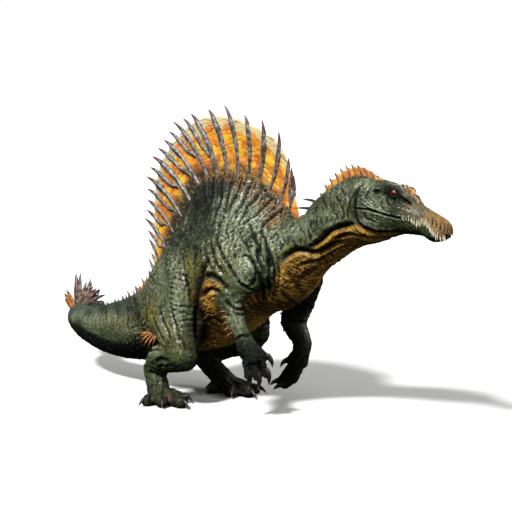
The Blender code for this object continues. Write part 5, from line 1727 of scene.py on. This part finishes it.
# %% [markdown]
# ## Painted resin: the hide
#
# The hide is a resin casting, airbrushed in matt olive green, with painted shade in near-black in every
# furrow and on the undersides, and painted highlights in pale grey on the ridges. Satin varnish lies on the
# high, light places only. To the eye that gives small broken highlights on the folds over a dark ground
# that stays dull. The belly is ochre, the snout tan. Resin and acrylic paint have an IOR near 1.5, satin
# varnish a roughness near 0.25, matt paint one of 0.4 to 0.8. Scales too fine to model, 1.6 mm here, are a
# bump with painted shade in their furrows, as coarse as the picture needs.

# %% The hide's paint
FINE_SCALE = 1.6       # mm


def hide_paint():
    """Olive hide: base, zones, painted shade and painted highlights, under varnish on the high places."""
    # The roughness and the coat's weight are linked further down.
    material, tree, shader, place = start_paint("painted_resin_hide", 0.42, 1.45, 0.3, 0.24, 0.2)
    zone = {
        name: node(tree, "ShaderNodeAttribute", attribute_name=name).outputs["Fac"] for name in PAINT_ZONES
    }
    streaky = node(tree, "ShaderNodeMapping", {"Vector": place, "Scale": (1.0, 1.0, 0.45)}).outputs[0]
    # Base and zones of the hide.
    colour = coat(tree, "#4b5830", "#657243", blotches(tree, place, 11))
    colour = coat(tree, colour, "#2d381d", blotches(tree, place, 3.5), 0.75)
    colour = coat(tree, colour, "#465a49", zone["tail"], blotches(tree, place, 9, out_low=0.5))
    colour = coat(tree, colour, "#9a923f", zone["olive"], blotches(tree, place, 3.0, out_low=0.35))
    # Painted highlights where the light falls, broken into streaks.
    faded = blotches(tree, streaky, 4.0, out_low=0.35, out_high=0.8)
    colour = coat(tree, colour, "#a1aa82", zone["painted_light"], faded)
    colour = coat(tree, colour, "#8a4b41", zone["toe_web"])
    # Ochre belly, tan snout, yellow rim under the tail.
    ochre = coat(tree, "#e6b04c", "#a47225", blotches(tree, place, 5.0, 0.42, 0.62))
    colour = coat(tree, colour, ochre, zone["belly"])
    colour = coat(tree, colour, "#746c50", zone["snout"], blotches(tree, place, 4.0, out_low=0.55))
    colour = coat(tree, colour, "#a9683c", zone["snout"], blotches(tree, place, 5.0, 0.55, 0.68))
    colour = coat(tree, colour, "#b5813c", zone["snout_tip"], blotches(tree, place, 3.0, out_low=0.4))
    colour = coat(tree, colour, "#8b8c46", zone["rim"], blotches(tree, place, 2.0, out_low=0.2))
    # Dark blotches, darker back and hands, and painted shade; the foot of the web, cracks, streaks of the
    # ribs, and the underside of the tail in near-black painted shade.
    colour = coat(tree, colour, "#0c0f0a", zone["dark"], blotches(tree, place, 3.0, out_low=0.72))
    web_tan = coat(tree, "#bb7a30", "#74653f", blotches(tree, place, 4.0, out_low=0.2))
    colour = coat(tree, colour, web_tan, zone["web_root"])
    colour = coat(tree, colour, "#10130d", zone["cracked"], blotches(tree, streaky, 2.6, 0.53, 0.6))
    colour = coat(tree, colour, "#37373a", zone["rib"])
    colour = coat(tree, colour, "#0a0c09", zone["under"])
    # Painted highlights, then painted shade in the scales' furrows, in the folds and on the shaded sides.
    highlight_colour = coat(tree, "#ced4b6", "#e0bd6c", zone["belly"])
    colour = coat(tree, colour, highlight_colour, zone["ridge_highlight"], blotches(tree, streaky, 1.6, 0.44, 0.56, 0.3))
    cells = {"Vector": place, "Scale": 1 / (FINE_SCALE * MM)}
    near_edge = node(tree, "ShaderNodeTexVoronoi", cells, feature="DISTANCE_TO_EDGE").outputs["Distance"]
    furrow = node(
        tree, "ShaderNodeMapRange", {"Value": near_edge, "From Max": 0.22, "To Min": 0.6, "To Max": 0.0},
    ).outputs["Result"]
    colour = coat(tree, colour, "#14170f", furrow)
    colour = coat(tree, colour, "#0d0e09", zone["crease_shade"])
    colour = coat(tree, colour, "#090a08", zone["shade"], 0.93)
    # Matt in the dark zones, varnish on the high places.
    dull = blotches(tree, place, 2.0, out_low=0.34, out_high=0.5)
    dull = node(tree, "ShaderNodeMath", {0: zone["matte"], 1: 0.35, 2: dull}, operation="MULTIPLY_ADD")
    tree.links.new(dull.outputs[0], shader.inputs["Roughness"])
    varnish = node(
        tree, "ShaderNodeMath", {0: zone["varnish"], 1: 0.42}, operation="MULTIPLY", use_clamp=True,
    )
    tree.links.new(varnish.outputs[0], shader.inputs["Coat Weight"])
    pores = blotches(tree, place, 0.7, 0.3, 0.7)
    relief = node(tree, "ShaderNodeMath", {0: pores, 1: furrow}, operation="SUBTRACT").outputs[0]
    finish_paint(tree, shader, colour, relief, 0.8)
    return material


hide = hide_paint()
for piece in skin_pieces.values():
    piece.data.materials.append(hide)
print("hide paint:", len(hide.node_tree.nodes), "nodes")

# %% [markdown]
# ## Painted web
#
# The web is painted in thin glazes of orange over yellow, which look lit from within: cream along the edge,
# yellow and orange in the panels, brown and then green-black where it grows out of the back. Every crease,
# and the web beside each rib, holds painted shade in burnt orange. Height and this crease shade are stored
# on its points. The frill, the crest and the keel's frill get the same paint with their own limits.

# %% The web and its paint
def orange_paint(name, cream_from, green_below):
    """Orange skin: zones by height, painted shade in burnt orange in the creases and beside the ridges."""
    material, tree, shader, place = start_paint(name, 0.45, 1.5, 0.1, 0.3)
    height = node(tree, "ShaderNodeAttribute", attribute_name="height").outputs["Fac"]
    crease = node(tree, "ShaderNodeAttribute", attribute_name="crease").outputs["Fac"]
    uneven = blotches(tree, place, 9, out_low=-0.1, out_high=0.1)
    level = node(tree, "ShaderNodeMath", {0: height, 1: uneven}, operation="ADD").outputs[0]
    colour = coat(tree, "#f29a30", "#d8731f", blotches(tree, place, 3.5, 0.4, 0.62))
    colour = coat(tree, colour, "#ffcb33", blotches(tree, place, 9, 0.49, 0.6), 0.85)
    for code, start, end in (
        ("#e6d39c", cream_from, cream_from + 0.1),
        ("#7d5a2c", green_below, 0.3 * green_below),
        ("#2b2d20", green_below * 0.75, 0.15 * green_below),
    ):
        part = node(tree, "ShaderNodeMapRange", {"Value": level, "From Min": start, "From Max": end})
        colour = coat(tree, colour, code, part.outputs["Result"])
    # Painted shade in burnt orange in the creases and beside the ribs and ridges.
    colour = coat(tree, colour, "#7c3f17", crease, 0.72)
    colour = coat(tree, colour, "#f1d08a", blotches(tree, place, 1.6, 0.56, 0.66), 0.35)
    finish_paint(tree, shader, colour, blotches(tree, place, 1.1, 0.3, 0.7))
    return material


def dressed_piece(name, form, zones, paint):
    """A painted piece from points and faces, its faces turned outward."""
    piece = new_object(name, *form)
    bm = bmesh.new()
    bm.from_mesh(piece.data)
    bmesh.ops.recalc_face_normals(bm, faces=bm.faces)
    bm.to_mesh(piece.data)
    bm.free()
    store(piece, zones)
    piece.data.materials.append(paint)
    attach(piece, "root")
    return piece


web = dressed_piece(
    "sail_web", (web_points, web_faces), {"height": web_level, "crease": web_crease_shade},
    orange_paint("painted_resin_web", 0.8, 0.42),
)
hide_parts("sail")

for name, finish, cream_from, green_below in (
    ("nape_frill", "painted_resin_frill", 0.95, 0.35),
    ("snout_crest", "painted_resin_crest", 2.0, 0.5),
    ("keel_frill", "painted_resin_keel_frill", 2.0, 0.3),
):
    form, zones, _ = combs[name]
    dressed_piece(name, form, zones, orange_paint(finish, cream_from, green_below))
print("web, frills and crest are painted")

# %% [markdown]
# ## Horn paint
#
# Ribs, quills, ridges and claws are painted as horn, in satin: a lighter tone sponged over a dark base,
# near-black in the pores, and a tip of another colour. That gives the eye a dry, worn surface with a soft
# sheen. Where a point lies along its own horn is stored on the points, so every tip changes colour at the
# same share.

# %% Horn and its colours
def horn_paint(name, base, light, tip, tip_from, roughness, point=None):
    """Blotched horn with a tip in another colour and, if wanted, a point in a third."""
    material, tree, shader, place = start_paint(name, roughness, 1.54, 0.1, 0.2)
    along = node(tree, "ShaderNodeAttribute", attribute_name="along").outputs["Fac"]
    colour = coat(tree, base, light, blotches(tree, place, 3.0, 0.42, 0.72))
    colour = coat(tree, colour, "#141210", blotches(tree, place, 1.1, 0.5, 0.72), 0.45)
    ends = [(tip, tip_from, tip_from + 0.08)] + ([(point, 0.9, 1.0)] if point else [])
    for code, start, end in ends:
        part = node(tree, "ShaderNodeMapRange", {"Value": along, "From Min": start, "From Max": end})
        colour = coat(tree, colour, code, part.outputs["Result"])
    finish_paint(tree, shader, colour, blotches(tree, place, 0.8, 0.3, 0.7), 0.5, 0.2)
    return material


comb_ridges = [ridge for comb in combs.values() for ridge in comb[2]]
small_spines = nape_quills + keel + elbow_spikes

# Piece, horns, then the paint: base, lighter tone, tip, where the tip begins, roughness, and the ribs' point.
HORN_PIECES = [
    ("sail_ribs", ribs, "ribs", "#434145", "#a8a29a", "#6b2626", 0.805, 0.36, "#1c1013"),
    ("frill_ridges", comb_ridges, "ridges", "#4a4038", "#a08468", "#241c1a", 0.7, 0.42),
    ("tail_quills", quills, "quills", "#4a363a", "#a88c74", "#2b1e20", 0.8, 0.42),
    ("tufts", tufts, "tufts", "#96501c", "#c9883c", "#5c2c14", 0.7, 0.5),
    ("keel_spines", small_spines, "spines", "#2c2a2c", "#6a4a48", "#4a2022", 0.6, 0.42),
]
for name, row in claws.items():
    HORN_PIECES.append(("claws_" + name, row, "claws", "#1d1916", "#3d2e28", "#a08070", 0.86, 0.3))
for name, horns, finish, *numbers in HORN_PIECES:
    *form, along = gather(horns)
    dressed_piece(name, form, {"along": along}, horn_paint("painted_resin_" + finish, *numbers))
print("horn pieces:", len(HORN_PIECES))

# %% [markdown]
# ## Teeth and eyes
#
# The teeth are painted in ivory with a brown wash at the root. The eyes are the one glossy thing on the
# figure: a red iris round a dark pupil under a drop of clear gloss varnish, which gives a hard small
# highlight.

# %% Teeth
def ivory_paint():
    """Ivory teeth, brown at the root."""
    material, tree, shader, place = start_paint("painted_resin_teeth", 0.3, 1.5, 0.2, 0.15)
    along = node(tree, "ShaderNodeAttribute", attribute_name="along").outputs["Fac"]
    root = node(tree, "ShaderNodeMapRange", {"Value": along, "From Min": 0.55, "From Max": 0.15})
    colour = coat(tree, "#e9e2cd", "#cbbd95", blotches(tree, place, 1.2))
    finish_paint(tree, shader, coat(tree, colour, "#6a5534", root.outputs["Result"]))
    return material


*form, along = gather(upper_teeth + lower_teeth)
dressed_piece("teeth", form, {"along": along}, ivory_paint())
print("teeth painted:", len(upper_teeth + lower_teeth))

# %% Eyes
IRIS = 0.36            # radians from the middle of the pupil
PUPIL = 0.12
EYE_RINGS = 40
EYE_SIDES = 48


def build_eye(side):
    """An eyeball with a raised cornea; how far a point lies from the line of sight is stored on it."""
    centre, gaze = eye_place(side)
    across = np.cross(gaze, (0, 0, 1))
    across /= np.linalg.norm(across)
    lift = np.cross(across, gaze)
    turns = 2 * math.pi * np.arange(EYE_SIDES) / EYE_SIDES
    around = np.outer(np.cos(turns), across) + np.outer(np.sin(turns), lift)
    rings = []
    angles = np.linspace(0.02, math.pi - 0.02, EYE_RINGS)
    for angle in angles:
        radius = EYE_RADIUS * (1 + 0.05 * math.exp(-((angle / 0.5) ** 4)))
        rings.append(centre + radius * (math.cos(angle) * gaze + math.sin(angle) * around))
    return (np.concatenate(rings), loft_faces(EYE_RINGS, EYE_SIDES)), np.repeat(angles, EYE_SIDES)


def eye_paint():
    """Red iris with dark blotches, dark rim and pupil under clear gloss."""
    material, tree, shader, place = start_paint("gloss_painted_eye", 0.12, 1.5, 1.0, 0.03)
    angle = node(tree, "ShaderNodeAttribute", attribute_name="angle").outputs["Fac"]
    colour = coat(tree, "#c4141a", "#7a0a10", blotches(tree, place, 0.5))
    for code, start, end in (("#120a0a", IRIS, IRIS + 0.1), ("#080304", PUPIL, PUPIL - 0.06)):
        part = node(tree, "ShaderNodeMapRange", {"Value": angle, "From Min": start, "From Max": end})
        colour = coat(tree, colour, code, part.outputs["Result"])
    finish_paint(tree, shader, colour)
    return material


eye_finish = eye_paint()
for side, name in ((-1, "right"), (1, "left")):
    form, angles = build_eye(side)
    eyeball = dressed_piece("eyeball_" + name, form, {"angle": angles}, eye_finish)
    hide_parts("eye_" + name)
print("eyes are in, radius in mm:", EYE_RADIUS)

# %% [markdown]
# ## Stage and light
#
# The figure stands on a plain pale floor. One broad soft light from above the camera's left side draws the
# folds, a low weak one from the right lifts the snout, and a third behind the figure draws the rim of its
# back. A bright sky over a dark lower half keeps the undersides deep. The floor throws no light back up, as
# in the picture, where belly and throat are nearly black.

# %% Floor
bpy.ops.mesh.primitive_plane_add(size=24)
floor = bpy.context.object
floor.name = "floor"
floor.visible_diffuse = False
floor.visible_glossy = False
floor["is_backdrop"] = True


def floor_paint():
    """Matt pale paper."""
    material, tree, shader, place = start_paint("matt_paper", 0.9)
    grain = blotches(tree, place, 40, out_high=0.25)
    finish_paint(tree, shader, coat(tree, "#f4f4f2", "#ececea", grain))
    return material


floor.data.materials.append(floor_paint())

# %% Lights and sky
# Azimuth from the figure's right side and height in degrees, strength, width in degrees.
LIGHTS = {
    "key_light": (6, 50, 4.4, 8),
    "front_fill": (82, 6, 0.75, 25),
    "rim_light": (150, 35, 0.8, 20),
}


def add_sun(name, azimuth, height, energy, spread):
    """A soft distant light."""
    light = bpy.data.lights.new(name, "SUN")
    light.energy = energy
    light.angle = math.radians(spread)
    made = bpy.data.objects.new(name, light)
    bpy.context.scene.collection.objects.link(made)
    azimuth, height = math.radians(azimuth), math.radians(height)
    level = math.cos(height)
    source = Vector((math.sin(azimuth) * level, -math.cos(azimuth) * level, math.sin(height)))
    made.rotation_mode = "QUATERNION"
    made.rotation_quaternion = source.to_track_quat("Z", "Y")


for name, numbers in LIGHTS.items():
    add_sun(name, *numbers)

world = bpy.data.worlds.new("studio")
bpy.context.scene.world = world
world.use_nodes = True
tree = world.node_tree
upward = node(tree, "ShaderNodeTexCoord").outputs["Generated"]
upward = node(tree, "ShaderNodeSeparateXYZ", {0: upward}).outputs["Z"]
rise = node(tree, "ShaderNodeMapRange", {"Value": upward, "From Min": -0.1, "From Max": 0.7})
below, above = (0.02, 0.02, 0.02, 1), (0.42, 0.42, 0.42, 1)
glow = node(tree, "ShaderNodeMix", {0: rise.outputs["Result"], 6: below, 7: above}, data_type="RGBA")
seen = node(tree, "ShaderNodeLightPath").outputs["Is Camera Ray"]
backdrop = node(tree, "ShaderNodeMix", {0: seen, 6: glow.outputs[2], 7: (1.0, 1.0, 1.0, 1)}, data_type="RGBA")
tree.links.new(backdrop.outputs[2], tree.nodes["Background"].inputs["Color"])
bpy.context.scene.view_settings.view_transform = "Standard"

# %% The sizes of the frame and of the dressed figure
sizes = {"cad": [list(corner) for corner in CAD_BOX], "visual": [list(corner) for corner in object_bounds()]}
